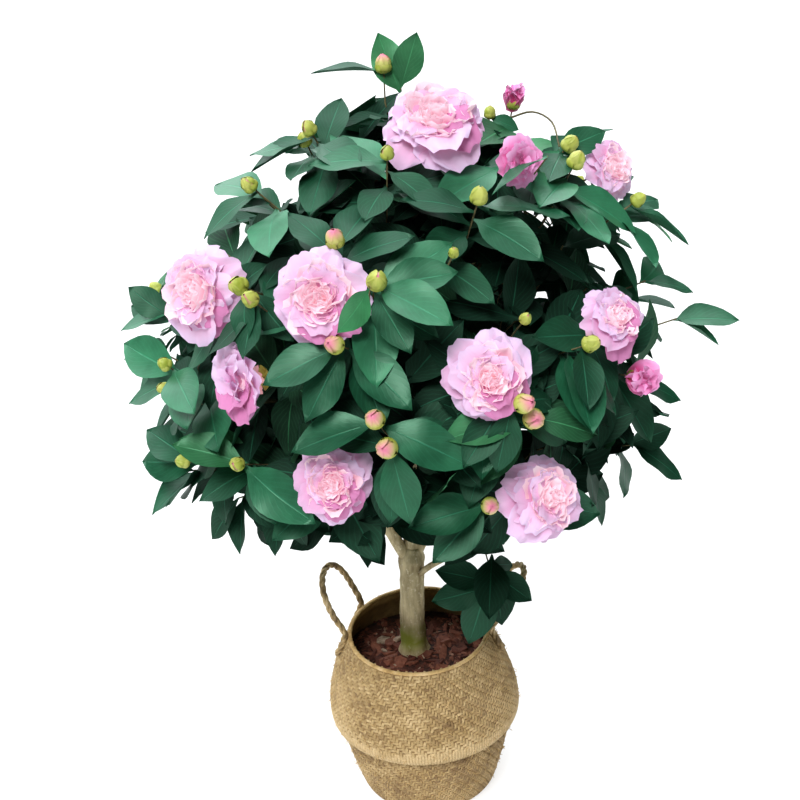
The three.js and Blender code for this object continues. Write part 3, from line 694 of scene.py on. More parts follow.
def hides_bud(leaf):
    """True if a leaf runs through a bud or lies close in front of it."""
    for bud, size in bud_middles:
        if near_line(bud, leaf["root"], leaf["tip"]) < 0.5 * size + 2:
            return True
        before = bud + outward(bud, 0.2) * 26
        if near_line(before, leaf["root"].lerp(leaf["tip"], 0.25), leaf["tip"]) < 0.75 * size:
            return True
    return False


def leaf_fits(leaf, room):
    root, tip = leaf["root"], leaf["tip"]
    if not all(low <= c * MM <= high for c, low, high in zip(tip, *cad_box)):
        return False
    left = leaf["face"].cross(tip - root).normalized()
    middle = root.lerp(tip, 0.45)
    edges = [middle + left * leaf["width"] / 2, middle - left * leaf["width"] / 2]
    if out_of_crown(tip) > room or any(in_blooms(root.lerp(tip, t)) for t in (0.3, 0.55, 0.8, 1)):
        return False
    if any(in_blooms(p) for p in edges) or hides_bud(leaf):
        return False
    if in_slit([root.lerp(tip, t) for t in (0.2, 0.5, 0.8)], 0.22 * leaf["width"]):
        return False
    return all(clear_of_limbs(root.lerp(tip, t), LEAF_ROOM["limb"]) for t in (0.25, 0.6, 0.95))


def cuts(leaf, other):
    """True if a leaf's midrib goes through the blade of another."""
    way = other["tip"] - other["root"]
    middle = other["root"].lerp(other["tip"], 0.5)
    side = way.cross(other["face"]).normalized()
    normal = side.cross(way)
    a, b = (leaf["root"] - middle).dot(normal), (leaf["tip"] - middle).dot(normal)
    if a * b >= 0:
        return False
    through = leaf["root"].lerp(leaf["tip"], a / (a - b)) - middle
    along = 2 * through.dot(way) / way.length_squared
    across = 2 * through.dot(side) / other["width"]
    return along ** 2 + across ** 2 < 0.9


def cell_of(leaf):
    return tuple(int(c // CELL) for c in leaf["root"].lerp(leaf["tip"], 0.5))


def is_free(leaf):
    """True if a leaf near the outside cuts through no leaf set before it."""
    if out_of_crown(leaf["root"].lerp(leaf["tip"], 0.5)) < -LEAF_ROOM["unseen"]:
        return True
    x, y, z = cell_of(leaf)
    near = [other for i in (-1, 0, 1) for j in (-1, 0, 1) for k in (-1, 0, 1)
            for other in cells.get((x + i, y + j, z + k), [])]
    return not any(cuts(leaf, other) or cuts(other, leaf) for other in near)


print(len(LEAF_TRIES), "places can be tried for each leaf")


# %% Places for leaves
def leaf_places(shoot):
    """For each leaf of a shoot, the places to try in turn."""
    base, tip = shoot["base"], shoot["tip"]
    if "tips" in shoot:
        for i, end in enumerate(shoot["tips"]):
            root = tip.lerp(base, i * 7 / shoot["length"])
            face = Vector(shoot["show"]) if shoot["show"] else outward(tip, 0.5)
            width = min(46, (end - root).length * 0.54)
            yield [{"root": root, "tip": end, "face": face, "width": width}]
        return
    side, other = across_of(shoot["aim"])
    first = FIRST_LEAF[shoot["kind"]]
    least = 60 if shoot["kind"] == "bloom" else 46
    for i in range(shoot["count"]):
        r1, r2, r3, r4 = shoot["draws"][i]
        share = first + (0.9 - first) * i / shoot["count"]
        root = tip.lerp(base, share)
        length = LEAF * (0.84 + 0.34 * r1)
        tilt = Vector((r3 - 0.5, r4 - 0.5, r2 - 0.35)) * 0.9
        places = []
        for shift, wider, shrink in LEAF_TRIES:
            a = shoot["turn"] + i * GOLDEN + shift + 0.4 * (r2 - 0.5)
            opening = math.radians(least + 24 * share + 14 * r3 + wider)
            out = side * math.cos(a) + other * math.sin(a)
            way = shoot["aim"] * math.cos(opening) + out * math.sin(opening)
            way = (way + UP * (-0.1 - 0.25 * r4)).normalized()
            end = root + way * length * shrink
            if shoot["kind"] == "bud" and end.z > tip.z + 32:
                continue
            places.append({"root": root, "tip": end, "width": length * shrink * 0.49,
                           "face": outward(root, 0.75) + shoot["aim"] * 0.3 + tilt})
        yield places


bud_middles = [(shoot["tip"] + shoot["aim"] * 0.4 * shoot["long"], shoot["long"])
               for shoot in kept if shoot.get("long")]
leaves, cells = [], {}
for shoot in kept:
    room = LEAF_ROOM["leafy"]
    if shoot["kind"] != "filler":
        room = max(LEAF_ROOM["other"], out_of_crown(shoot["tip"]) + LEAF_ROOM["past"])
    for i, places in enumerate(leaf_places(shoot)):
        fitting = next((place for place in places
                        if "tips" in shoot or leaf_fits(place, room) and is_free(place)), None)
        if fitting:
            leaves.append({**fitting, "shoot": shoot, "draw": shoot["draws"][i]})
            cells.setdefault(cell_of(fitting), []).append(fitting)
print(len(leaves), "leaves have a place")

# %% [markdown]
# ## Setting out copies with Geometry Nodes
# Leaves, petals, bud scales and the strips of the weave are a few shapes repeated thousands of
# times. One geometry tree puts a shape on every point of a mesh and reads its turn, its size and
# which shape to take from the points. It ends in Realize Instances and Set Material, and the
# result is then read back as a plain mesh, because copies that are not real are lost in export.


# %% The tree that sets shapes out on points
def new_tree(name, inputs):
    """An empty geometry tree with named inputs, and its bench."""
    tree = bpy.data.node_groups.new(name, "GeometryNodeTree")
    sockets = {}
    for label, kind in inputs:
        kind = "NodeSocket" + kind
        sockets[label] = tree.interface.new_socket(label, in_out="INPUT", socket_type=kind)
    tree.interface.new_socket("Geometry", in_out="OUTPUT", socket_type="NodeSocketGeometry")
    bench = Bench(tree)
    source = tree.nodes.new("NodeGroupInput")
    wires = {label: Wire(bench, source.outputs[label]) for label, _ in inputs}
    return bench, sockets, wires


def close_tree(bench, geometry, finish):
    """The end of every tree: real copies, then their material."""
    real = bench.node("GeometryNodeRealizeInstances", {}, {0: geometry})
    dressed = bench.node("GeometryNodeSetMaterial", {}, {"Geometry": real, "Material": finish})
    bench.put(bench.tree.nodes.new("NodeGroupOutput").inputs[0], dressed)


def named(bench, kind, name):
    return bench.node("GeometryNodeInputNamedAttribute", {"data_type": kind}, {"Name": name})


bench, SET_OUT, wires = new_tree("set out", [
    ("Geometry", "Geometry"), ("Shapes", "Collection"), ("Scale", "Float"), ("Finish", "Material")])
shapes = bench.node("GeometryNodeCollectionInfo", {}, {
    "Collection": wires["Shapes"], "Separate Children": True, "Reset Children": True})
turned = bench.node("FunctionNodeEulerToRotation", {}, {0: named(bench, "FLOAT_VECTOR", "turn")})
sized = bench.node("ShaderNodeVectorMath", {"operation": "SCALE"}, {
    0: named(bench, "FLOAT_VECTOR", "size"), "Scale": wires["Scale"]})
copies = bench.node("GeometryNodeInstanceOnPoints", {}, {
    "Points": wires["Geometry"], "Instance": shapes, "Pick Instance": True,
    "Instance Index": named(bench, "INT", "kind"), "Rotation": turned, "Scale": sized})
close_tree(bench, copies, wires["Finish"])
print("the tree", bench.tree.name, "has", len(bench.tree.nodes), "nodes")


# %% From a modifier to a plain mesh
def triangles(mesh):
    return sum(len(p.vertices) - 2 for p in mesh.polygons)


def new_object(name, mesh):
    made = bpy.data.objects.new(name, mesh)
    scene.collection.objects.link(made)
    return made


def worked_out(made, tree, values):
    """Runs a geometry tree on an object and keeps its result as a plain mesh."""
    modifier = made.modifiers.new("tree", "NODES")
    modifier.node_group = tree
    for socket, value in values:
        modifier[socket.identifier] = value
    made.update_tag()
    graph = bpy.context.evaluated_depsgraph_get()
    graph.update()
    mesh = bpy.data.meshes.new_from_object(made.evaluated_get(graph), depsgraph=graph)
    made.modifiers.clear()
    made.data = mesh
    return made


def set_out(name, places, shapes_of, finish):
    """places: (point, across, along, size, kind, tone), in millimetres, along being the shape's +Y."""
    mesh = bpy.data.meshes.new(name)
    mesh.from_pydata([place[0] * MM for place in places], [], [])
    turns, sizes, kinds, tones = [], [], [], []
    for _, across, along, size, kind, tone in places:
        y = along.normalized()
        z = across.cross(y).normalized()
        turns.append(Matrix((y.cross(z), y, z)).transposed().to_euler())
        sizes.append([s * MM for s in size])
        kinds.append(kind)
        tones.append(tone)
    for label, kind, values in [("turn", "FLOAT_VECTOR", turns), ("size", "FLOAT_VECTOR", sizes),
                                ("kind", "INT", kinds), ("tone", "FLOAT", tones)]:
        layer = mesh.attributes.new(label, kind, "POINT")
        flat = np.array([list(v) if kind == "FLOAT_VECTOR" else v for v in values]).ravel()
        layer.data.foreach_set("vector" if kind == "FLOAT_VECTOR" else "value", flat)
    made = worked_out(new_object(name, mesh), bpy.data.node_groups["set out"], [
        (SET_OUT["Shapes"], shapes_of), (SET_OUT["Scale"], 1.0), (SET_OUT["Finish"], finish.material)])
    for label in ("turn", "size", "kind"):
        if label in made.data.attributes:
            made.data.attributes.remove(made.data.attributes[label])
    print(name, "has", len(places), "copies and", triangles(made.data), "triangles")
    return made


# %% Thin shapes with two sides
def to_mesh(shape, name):
    mesh = bpy.data.meshes.new(name)
    shape.to_mesh(mesh)
    shape.free()
    return mesh


def thin_shape(rows, columns, surface, thick):
    """A closed thin sheet. surface(u, v) is its upper side, u from -1 to 1 across, v from 0 to 1 along.
    The sides share their rim and are cut into triangles the same way, so neither pokes through the
    other. The map of the under side starts at v = 1, so a finish can tell them apart."""
    shape = bmesh.new()
    layer = shape.loops.layers.uv.new("UVMap")
    top, under = {}, {}
    for i in range(rows + 1):
        for j in range(columns + 1):
            u, v = 2 * j / columns - 1, i / rows
            p = Vector(surface(u, v))
            top[i, j] = shape.verts.new(p)
            rim = i in (0, rows) or j in (0, columns)
            under[i, j] = top[i, j] if rim else shape.verts.new(p - UP * thick)
    for side, grid in ((0, top), (1, under)):
        for i in range(rows):
            for j in range(columns):
                quad = [(i, j), (i, j + 1), (i + 1, j + 1), (i + 1, j)]
                if (i < rows / 2) != (j < columns / 2):
                    quad = quad[1:] + quad[:1]
                for corners in (quad[:3], [quad[0], *quad[2:]]):
                    if side:
                        corners.reverse()
                    face = shape.faces.new([grid[c] for c in corners])
                    face.smooth = True
                    for loop, (a, b) in zip(face.loops, corners):
                        loop[layer].uv = (b / columns, side + a / rows * 0.998 + 0.001)
    bmesh.ops.remove_doubles(shape, verts=shape.verts, dist=1e-5)
    rim = {top[c] for c in top if c[0] in (0, rows) or c[1] in (0, columns)}
    for edge in shape.edges:
        edge.smooth = not all(v in rim for v in edge.verts)
    return to_mesh(shape, "shape")


def shape_box(name, meshes):
    """A collection of shapes for Geometry Nodes to pick from, in the order given."""
    box = bpy.data.collections.new(name)
    for i, mesh in enumerate(meshes):
        box.objects.link(bpy.data.objects.new(f"{name}_{i:02d}", mesh))
    return box


def between(stops, v):
    """A value read off a list of (place, value), eased between them."""
    for (v0, a), (v1, b) in zip(stops, stops[1:]):
        if v <= v1:
            return a + (b - a) * (v - v0) / (v1 - v0)
    return stops[-1][1]


print("thin shapes can be made")

# %% [markdown]
# ## Leaves
# A camellia leaf is a stiff pointed oval on a short stalk, about twice as long as it is wide. It
# is folded a little along a sunken midrib, its tip curves down, and it shines. Four shapes with
# other folds and curls are enough, since no two are ever turned the same way. Old, middle and
# young leaves are three pieces in three plain greens, dealt out shoot by shoot, but leaves near
# the heart of the crown and low down all take the dark old green, which also paints the shade
# there. A tone on each leaf darkens it further, near to black, deep in the crown and low down:
# painted shade, spread a little at random from leaf to leaf.

# %% The leaf shapes
LEAF_WIDTH = [(0, 0.05), (0.07, 0.05), (0.14, 0.32), (0.25, 0.68), (0.38, 0.93), (0.5, 1.0),
              (0.64, 0.95), (0.77, 0.74), (0.87, 0.46), (0.95, 0.17), (1, 0)]
LEAF_SHAPES = [  # curl of the tip, fold along the midrib, wave of the rim, sideways sweep
    (0.14, 0.09, 0.012, 0.03), (0.24, 0.06, 0.02, -0.04),
    (0.07, 0.13, 0.016, -0.02), (0.19, 0.03, 0.028, 0.05),
]


def leaf_surface(curl, fold, wave, sweep):
    def surface(u, v):
        wide = between(LEAF_WIDTH, v) * 0.5
        rise = fold * abs(u) ** 1.35 * wide * 2 - 0.035 * u * u * wide
        rise += wave * math.sin(11 * v + 2.5 * u) * abs(u) - curl * max(0, v - 0.12) ** 2
        return (u * wide + sweep * 2 * v * (v - 0.15), v, rise)
    return surface


leaf_box = shape_box("leaf", [thin_shape(10, 2, leaf_surface(*shape), 0.006) for shape in LEAF_SHAPES])


# %% The finish of a leaf
def leaf_finish(name, upper, rib, lower, roughness):
    finish = Finish(name, roughness, Specular_IOR_Level=0.6, Specular_Tint=(0.6, 1, 0.75, 1))
    across, along = finish.uv()
    under = along.over(1.0)
    length = along - under
    apart = (across - 0.5).size()
    vein = ((length * 60 - apart * 52).sine() * 0.5 + 0.5) ** 6 * apart.clip(0.02, 0.12)
    midrib = 1 - apart.clip(0.01, 0.03)
    cloud = finish.noise(38, 3)
    tone = finish.attribute("tone")
    base = finish.mix(cloud.clip(0.3, 0.7), [c * 0.78 for c in upper], [c * 1.2 for c in upper])
    # A low tone turns the leaf nearly black: painted shade deep in the crown and low down.
    base = finish.mix(tone, finish.mix(0.9, base, (0.002, 0.013, 0.008)), base)
    base = finish.mix((midrib * 0.45 + vein * 0.1), base, rib)
    rough = (cloud * 0.16 + (roughness - 0.08)) + under * 0.25 + (1 - tone.clip(0, 0.6)) * 0.3
    finish.set(Base_Color=finish.mix(under, base, lower), Roughness=rough)
    finish.bump(midrib * -0.8 - vein * 0.14 + cloud * 0.3, 0.5, 0.5)
    return finish


LEAF_FINISHES = [
    leaf_finish("old leaf", (0.024, 0.125, 0.064), (0.04, 0.24, 0.14), (0.04, 0.15, 0.09), 0.39),
    leaf_finish("middle leaf", (0.046, 0.2, 0.105), (0.06, 0.32, 0.18), (0.05, 0.2, 0.11), 0.4),
    leaf_finish("young leaf", (0.064, 0.262, 0.112), (0.1, 0.42, 0.19), (0.08, 0.28, 0.13), 0.41),
]
OLD_AND_SHADED_BELOW = 600
leaf_places_by_age = [[], [], []]
depths = []
for leaf in leaves:
    draw = leaf["draw"]
    way = leaf["tip"] - leaf["root"]
    apart = (leaf["root"] - heart).length / CROWN["radius"]
    age = 0 if leaf["shoot"]["turn"] < 2.9 else 1 if leaf["shoot"]["turn"] < 5.1 else 2
    # Leaves near the heart and low down take the dark old green: older leaves sit there, and it also paints
    # the shade there.
    if apart < 0.55 or leaf["tip"].z < OLD_AND_SHADED_BELOW:
        age = 0
    size = (leaf["width"], way.length, way.length)
    # The tone is painted shade: it falls for low leaves and for those deep inside the crown's outline, and
    # draw[0] spreads it at random.
    low = 0.35 + 0.65 * smooth(430, OLD_AND_SHADED_BELOW, leaf["tip"].z)
    deep = -out_of_crown(leaf["root"].lerp(leaf["tip"], 0.6))
    tone = (1 - smooth(6, 47, deep)) * (0.25 + 0.75 * draw[0]) * low
    depths.append(deep)
    kind = int(draw[3] * 4) % 4
    leaf_places_by_age[age].append((leaf["root"], way.cross(leaf["face"]), way, size, kind, tone))
middle_depth = round(sorted(depths)[len(depths) // 2])
print("half of the leaves lie more than", middle_depth, "mm inside the crown")
leaf_pieces = [set_out(f"leaves_{age}", places, leaf_box, finish) for age, places, finish in
               zip(("old", "middle", "young"), leaf_places_by_age, LEAF_FINISHES)]

# %% [markdown]
# ## Wood
# The trunk, the limbs and the twigs are round and taper steadily, so each is a tube along its
# smooth path. Bark relief is made in the mesh itself: shallow upright furrows, finer grain
# and a few swellings where old leaves stood. The foot flares where it leaves the mulch, and
# there the bark carries a band of moss.


# %% Tubes with relief
def tube_mesh(parts, name):
    """parts: (path, radii, sides, depth of relief). All become one mesh."""
    verts, faces = [], []
    for path, radii, sides, relief in parts:
        side = None
        first = len(verts)
        for i, p in enumerate(path):
            ahead = (path[min(i + 1, len(path) - 1)] - p).normalized()
            behind = (p - path[max(i - 1, 0)]).normalized()
            along = (ahead + behind).normalized()
            if side is None:
                side = across_of(along)[0]
            side = (side - along * side.dot(along)).normalized()
            other = along.cross(side)
            for j in range(sides):
                a = FULL_TURN * j / sides
                way = side * math.cos(a) + other * math.sin(a)
                radius = radii[i]
                if relief:
                    x, y, z = p + way * radius
                    furrow = noise.noise(Vector((x * 0.28, y * 0.28, z * 0.07)))
                    grain = noise.noise(Vector((x * 0.7, y * 0.7, z * 0.45)))
                    swell = noise.noise(Vector((x * 0.05, y * 0.05, z * 0.09)) + Vector((7, 3, 1)))
                    radius += relief * (furrow * 0.9 + grain * 0.5 + swell * 1.5)
                verts.append((p + way * radius) * MM)
        for i in range(len(path) - 1):
            for j in range(sides):
                a, b = first + i * sides + j, first + i * sides + (j + 1) % sides
                faces.append((a, b, b + sides, a + sides))
        faces.append([first + j for j in reversed(range(sides))])
        faces.append([first + (len(path) - 1) * sides + j for j in range(sides)])
    mesh = bpy.data.meshes.new(name)
    mesh.from_pydata(verts, [], faces)
    mesh.polygons.foreach_set("use_smooth", [len(f) == 4 for f in faces])
    return new_object(name, mesh)


trunk_path, trunk_radii = limbs["trunk"]
trunk_path = [*trunk_path, Vector((0, 10, 361)), Vector((1, 10, 366))]
trunk_radii = [*trunk_radii, 11.5, 6]
wood_parts = [(*rounded(trunk_path, trunk_radii, 6), 40, 0.75)]
for name, (path, radii) in limbs.items():
    if name != "trunk":
        sides = 20 if name == "leader" else 16 if name.startswith("main") else 12
        wood_parts.append((*rounded(path, radii, 7), sides, 0.3 if sides > 12 else 0.18))
wood = tube_mesh(wood_parts, "trunk_and_boughs")
twigs = tube_mesh([(path, radii, 6, 0) for path, radii in chains], "twigs")
print("wood has", len(wood.data.polygons), "faces and the twigs", len(twigs.data.polygons))

# %% The finish of bark and twigs
bark = Finish("bark", 0.85)
streaks = bark.noise(1, 5, 0.6, bark.stretched(90, 90, 22))
spots = bark.noise(1, 4, 0.65, bark.stretched(260, 260, 160))
patches = bark.noise(28, 3)
height = bark.node("ShaderNodeSeparateXYZ", {}, {0: bark.place}, out=2)
grey = bark.mix(streaks.clip(0.34, 0.66), (0.34, 0.265, 0.145), (0.72, 0.62, 0.39))
grey = bark.mix(spots.clip(0.56, 0.7), grey, (0.8, 0.72, 0.53))
moss = (1 - (height - 0.226).size().clip(0.006, 0.026)) * patches.clip(0.25, 0.5)
grey = bark.mix(moss * 0.9, grey, (0.25, 0.29, 0.035))
foot = 1 - height.clip(0.198, 0.212)
bark.set(Base_Color=bark.mix(foot * 0.6, grey, (0.16, 0.1, 0.06)), Roughness=0.72 + streaks * 0.2)
bark.bump(streaks * 0.8 + spots * 0.5, 1.2, 0.8)
wood.data.materials.append(bark.material)

twig_bark = Finish("twig bark", 0.7)
mottle = twig_bark.noise(120, 3)
twig_bark.set(Base_Color=twig_bark.mix(mottle.clip(0.35, 0.65), (0.10, 0.085, 0.04), (0.2, 0.17, 0.08)),
              Roughness=0.6 + mottle * 0.2)
twig_bark.bump(mottle, 0.4, 0.5)
twigs.data.materials.append(twig_bark.material)
print("bark is finished")

# %% [markdown]
# ## Blooms
# These blooms are peony-shaped: three rings of broad petals that stand up more and more, round
# a domed heart of small folded ones. Every petal is a thin ruffled sheet placed by a rule: its
# ring sets how far it leans back, how long it is and how wide, and those of the heart wind
# inwards by the golden angle, so they crowd without rows. The waves of a petal's rim are made
# in the shape itself, large ones with small ones riding on them.
# The blooms stand at several stages. Two are narrow tulips that have hardly opened, three more
# are half closed round their heart, and on seven the broad petals on the lower right, away from
# the light, are painted a deeper pink as their shade. Five green scales stay under each. Pale
# petals, the blush ones of the heart and those of the deep pink blooms are three pieces, each in
# its own pink.

# %% The petal shapes
SMALL_WIDTH = [(0, 0.3), (0.25, 0.62), (0.5, 0.88), (0.72, 1.0), (0.88, 0.94), (1, 0.66)]
BROAD_WIDTH = [(0, 0.22), (0.18, 0.46), (0.4, 0.78), (0.62, 0.97), (0.78, 1.0), (0.9, 0.93),
               (1, 0.74)]
BROAD = [  # how far the tip turns down, how much the sides rise, ruffle, phase of the waves
    (0.1, 0.16, 0.06, 0.4), (0.16, 0.1, 0.075, 2.1), (0.04, 0.2, 0.05, 4.0), (0.2, 0.14, 0.065, 5.2),
]
FOLDED = [
    (-0.16, 0.34, 0.06, 1.2), (-0.28, 0.3, 0.07, 3.1), (0.06, 0.3, 0.07, 5.0), (-0.22, 0.38, 0.05, 0.2),
]


def petal_surface(outline, back, cup, ruffle, phase):
    """back is how far the tip turns down, cup how much the sides rise, ruffle the waves of the rim."""
    def surface(u, v):
        wide = between(outline, v) * 0.5
        frill = smooth(0.35, 1, v)
        y = v - 0.04 * max(0, 1 - abs(u) * 2.2) * smooth(0.75, 1, v) - 0.2 * u * u * v
        y -= 0.35 * ruffle * frill * (1 + math.sin(2 * phase + 8 * u))
        rise = 0.22 * math.sin(math.pi * min(1, v * 0.8)) - back * v**3
        rise += cup * u * u * (0.35 + 0.65 * (1 - v))
        rise += ruffle * frill * math.sin(phase + 6.5 * u + 2 * v)
        rise += 0.45 * ruffle * frill * math.sin(3 * phase + 11 * u + 3 * v)
        return (u * wide * (1 + 0.5 * ruffle * math.sin(phase + 12 * v)), y, rise)
    return surface


petal_box = shape_box("petal", [
    *[thin_shape(5, 8, petal_surface(BROAD_WIDTH, *p), 0.012) for p in BROAD],
    *[thin_shape(4, 4, petal_surface(SMALL_WIDTH, *p), 0.02) for p in FOLDED]])

# %% Petals in rings
RINGS = [  # petals, lift in degrees, length, width and root on the axis as shares of the bloom's width
    (8, 0, 0.5, 0.5, -0.13), (7, 19, 0.45, 0.44, -0.11), (6, 36, 0.38, 0.38, -0.09),
]
TULIP_RINGS = [(5, 70, 1.0, 0.8, -0.3), (5, 80, 0.92, 0.7, -0.25)]
HEART = {"count": 58, "low": 36, "high": 86, "long": 0.25, "wide": 0.25, "spread": 0.22}
# The blooms by their number: deep pink all over, painted deeper pink as shade on one side, tulips,
# and those whose petals stand up by so many degrees more.
DEEP = {1, 2, 11}
SHADED_ON_ONE_SIDE = {0, 4, 5, 6, 7, 8, 10}
TULIPS = {2, 11}
CLOSING = {1: 26, 6: 34, 10: 12}
# The side of a bloom away from the light, towards the lower right, where its shade is painted.
SHADE_SIDE = Vector((0.62, 0, -0.78))
petals = {"pale": [], "blush": [], "deep": []}
scales = []
petal_random = seeded(7)
for bloom in blooms:
    side, other = across_of(bloom["face"])
    wide, face, centre = bloom["wide"], bloom["face"], bloom["centre"]
    number = bloom["number"]
    tulip = number in TULIPS
    turn, plan = 0, []
    for count, lift, long, broad, root in (TULIP_RINGS if tulip else RINGS):
        turn += math.pi / count + 0.3
        for k in range(count):
            plan.append((turn + k * FULL_TURN / count, lift, long, broad, root, 0.02, False))
    for k in range(0 if tulip else HEART["count"]):
        t = (k + 0.5) / HEART["count"]
        lift = HEART["low"] + (HEART["high"] - HEART["low"]) * t**0.8
        long, broad = HEART["long"] * (1 - 0.2 * t), HEART["wide"] * (1 - 0.2 * t)
        spread = HEART["spread"] * (1 - t) ** 0.6
        plan.append((k * GOLDEN, lift, long, broad, -0.06 + 0.05 * t, spread, True))
    for a, lift, long, broad, root, spread, folded in plan:
        a += 0.3 * (petal_random() - 0.5)
        lift = lift + (26 if folded else 14) * (petal_random() - 0.5) + CLOSING.get(number, 0)
        e = math.radians(lift)
        out = side * math.cos(a) + other * math.sin(a)
        along = out * math.cos(e) + face * math.sin(e)
        across = out.cross(face)
        twist = (0.9 if folded else 0.3) * (petal_random() - 0.5)
        across = across * math.cos(twist) + along.cross(across) * math.sin(twist)
        length = wide * long * (0.86 + 0.28 * petal_random())
        size = (wide * broad * (0.85 + 0.35 * petal_random()), length, length)
        kind = int(petal_random() * 4) % 4 + (4 if folded else 0)
        start = centre + face * root * wide + out * spread * wide
        group = "deep" if number in DEEP else "blush" if folded else "pale"
        # On these blooms the broad petals towards the lower right, away from the light, take tone 0, a
        # deeper pink: painted shade.
        on_shaded_side = not folded and number in SHADED_ON_ONE_SIDE and out.dot(SHADE_SIDE) > 0.72
        tone = 0 if on_shaded_side else 0.4 + 0.6 * petal_random()
        petals[group].append((start, across, along, size, kind, tone))
    for k in range(5):
        a = k * FULL_TURN / 5
        out = side * math.cos(a) + other * math.sin(a)
        along = (out * 0.85 + face * (1.2 if tulip else 0.25)).normalized()
        start = centre - face * 0.2 * wide
        scales.append((start, out.cross(face) * -1, along, (13, 15, 15), 0, petal_random()))
counts = {group: len(found) for group, found in petals.items()}
print(counts, "petals stand in", len(blooms), "blooms")


# %% The finish of a petal
def petal_finish(name, base, rim, throat, glow):
    """glow stands for the daylight that real petals pass on to each other."""
    finish = Finish(name, 0.6, Emission_Strength=glow, Specular_IOR_Level=0.25,
                    Subsurface_Weight=0.15, Subsurface_Scale=0.002, Subsurface_Radius=(1.0, 0.7, 0.8))
    across, along = finish.uv()
    under = along.over(1.0)
    length = along - under
    apart = (across - 0.5).size() * 2
    streak = (across * 70 + finish.noise(160, 2) * 3).sine() * 0.5 + 0.5
    cloud = finish.noise(55, 3)
    tone = finish.attribute("tone")
    # A low tone deepens the pink: it spreads at random from petal to petal, and tone 0 is painted shade.
    colour = finish.mix(length.clip(0.05, 0.5), throat, finish.mix(tone, [c**2.2 for c in base], base))
    colour = finish.mix((length.clip(0.55, 1.0) + apart.clip(0.6, 1.0) * 0.5) * tone, colour, rim)
    colour = finish.mix(streak * 0.12 * (1 - length), colour, throat)
    colour = finish.mix(under * (1 - length) * 0.8, colour, [c * 0.9 for c in throat])
    finish.set(Base_Color=colour, Emission_Color=colour, Roughness=0.5 + cloud * 0.15)
    finish.bump(streak * 0.3 + cloud * 0.7, 0.5, 0.35)
    return finish


PETAL_COLOURS = {  # the middle of a petal, its rim, its throat, and its glow
    "pale": ((0.78, 0.51, 0.68), (0.73, 0.56, 0.79), (0.80, 0.26, 0.44), 0.10),
    "blush": ((0.82, 0.60, 0.67), (0.80, 0.66, 0.73), (0.84, 0.44, 0.46), 0.26),
    "deep": ((0.78, 0.24, 0.50), (0.84, 0.45, 0.74), (0.74, 0.14, 0.34), 0.08),
}
petal_pieces = []
for group, colours in PETAL_COLOURS.items():
    finish = petal_finish(group + " petal", *colours)
    petal_pieces.append(set_out("petals_" + group, petals[group], petal_box, finish))

# %% [markdown]
# ## Buds
# A camellia bud is fat and round, wrapped in green scales that overlap like tiles. As it swells
# the pink of its petals shows at the tip. The pink core is a turned shape with a spiral seam, and
# nine scales are set over it; on a swelling bud the four upper ones blush pink towards the tip.

# %% Bud cores and scales
CORE = [(-0.12, 0.0), (-0.08, 0.16), (0.05, 0.34), (0.25, 0.42), (0.45, 0.43), (0.65, 0.36),
        (0.82, 0.22), (0.94, 0.08), (0.98, 0.0)]


def core_shape(sides):
    """A bud's core: turned from its profile, with a shallow spiral seam."""
    shape = bmesh.new()
    layer = shape.loops.layers.uv.new("UVMap")
    rings = []
    for y, r in CORE:
        ring = []
        for j in range(sides):
            a = FULL_TURN * j / sides
            seam = 1 + 0.05 * math.sin(2 * a + 9 * y)
            ring.append(shape.verts.new((r * seam * math.cos(a), y, r * seam * math.sin(a))))
        rings.append(ring)
    for i in range(len(rings) - 1):
        for j in range(sides):
            k = (j + 1) % sides
            face = shape.faces.new([rings[i][j], rings[i + 1][j], rings[i + 1][k], rings[i][k]])
            face.smooth = True
            corners = [(j, i), (j, i + 1), (j + 1, i + 1), (j + 1, i)]
            for loop, (a, b) in zip(face.loops, corners):
                loop[layer].uv = (a / sides, b / (len(rings) - 1))
    bmesh.ops.remove_doubles(shape, verts=shape.verts, dist=1e-5)
    bmesh.ops.recalc_face_normals(shape, faces=shape.faces)
    return to_mesh(shape, "core")


def scale_surface(hug):
    """A scale that hugs the bud: it bows outwards along its length and across its width."""
    def surface(u, v):
        wide = between([(0, 0.5), (0.3, 0.95), (0.6, 1.0), (0.85, 0.7), (1, 0.1)], v) * 0.5
        return (u * wide, v, hug * math.sin(math.pi * (0.08 + 0.9 * v)) - 0.32 * u * u * wide)
    return surface


core_box = shape_box("core", [core_shape(12)])
scale_box = shape_box("scale", [thin_shape(5, 4, scale_surface(0.34), 0.05),
                                thin_shape(5, 4, scale_surface(0.3), 0.05)])
# Root along and out from the axis, lean, width and length as shares of the bud, and the shape.
LOWER_SCALE = (-0.08, 0.12, 0.42, 0.62, 0.62, 0)
UPPER_SCALE = (0.12, 0.33, -0.33, 0.66, 0.86, 1)
cores = []
bud_random = seeded(19)
for shoot in kept:
    if not shoot.get("long"):
        continue
    way, long = shoot["aim"], shoot["long"] * 0.86
    side, other = across_of(way)
    fill = long * 0.9
    cores.append((shoot["tip"], side, way, (fill, fill, fill), 0, 1.0))
    start_turn = bud_random() * 6
    for k in range(9):
        a = start_turn + k * GOLDEN
        out = side * math.cos(a) + other * math.sin(a)
        up, away, lean, broad, tall, kind = LOWER_SCALE if k < 5 else UPPER_SCALE
        root = shoot["tip"] + way * long * up + out * long * away
        along = way * math.cos(lean) + out * math.sin(lean)
        size = (long * broad, long * tall, long * 0.7)
        tone = bud_random() + (2 if shoot["pink"] and k >= 5 else 0)
        scales.append((root, out.cross(way) * -1, along, size, kind, tone))
print(len(cores), "buds with", len(scales), "scales")

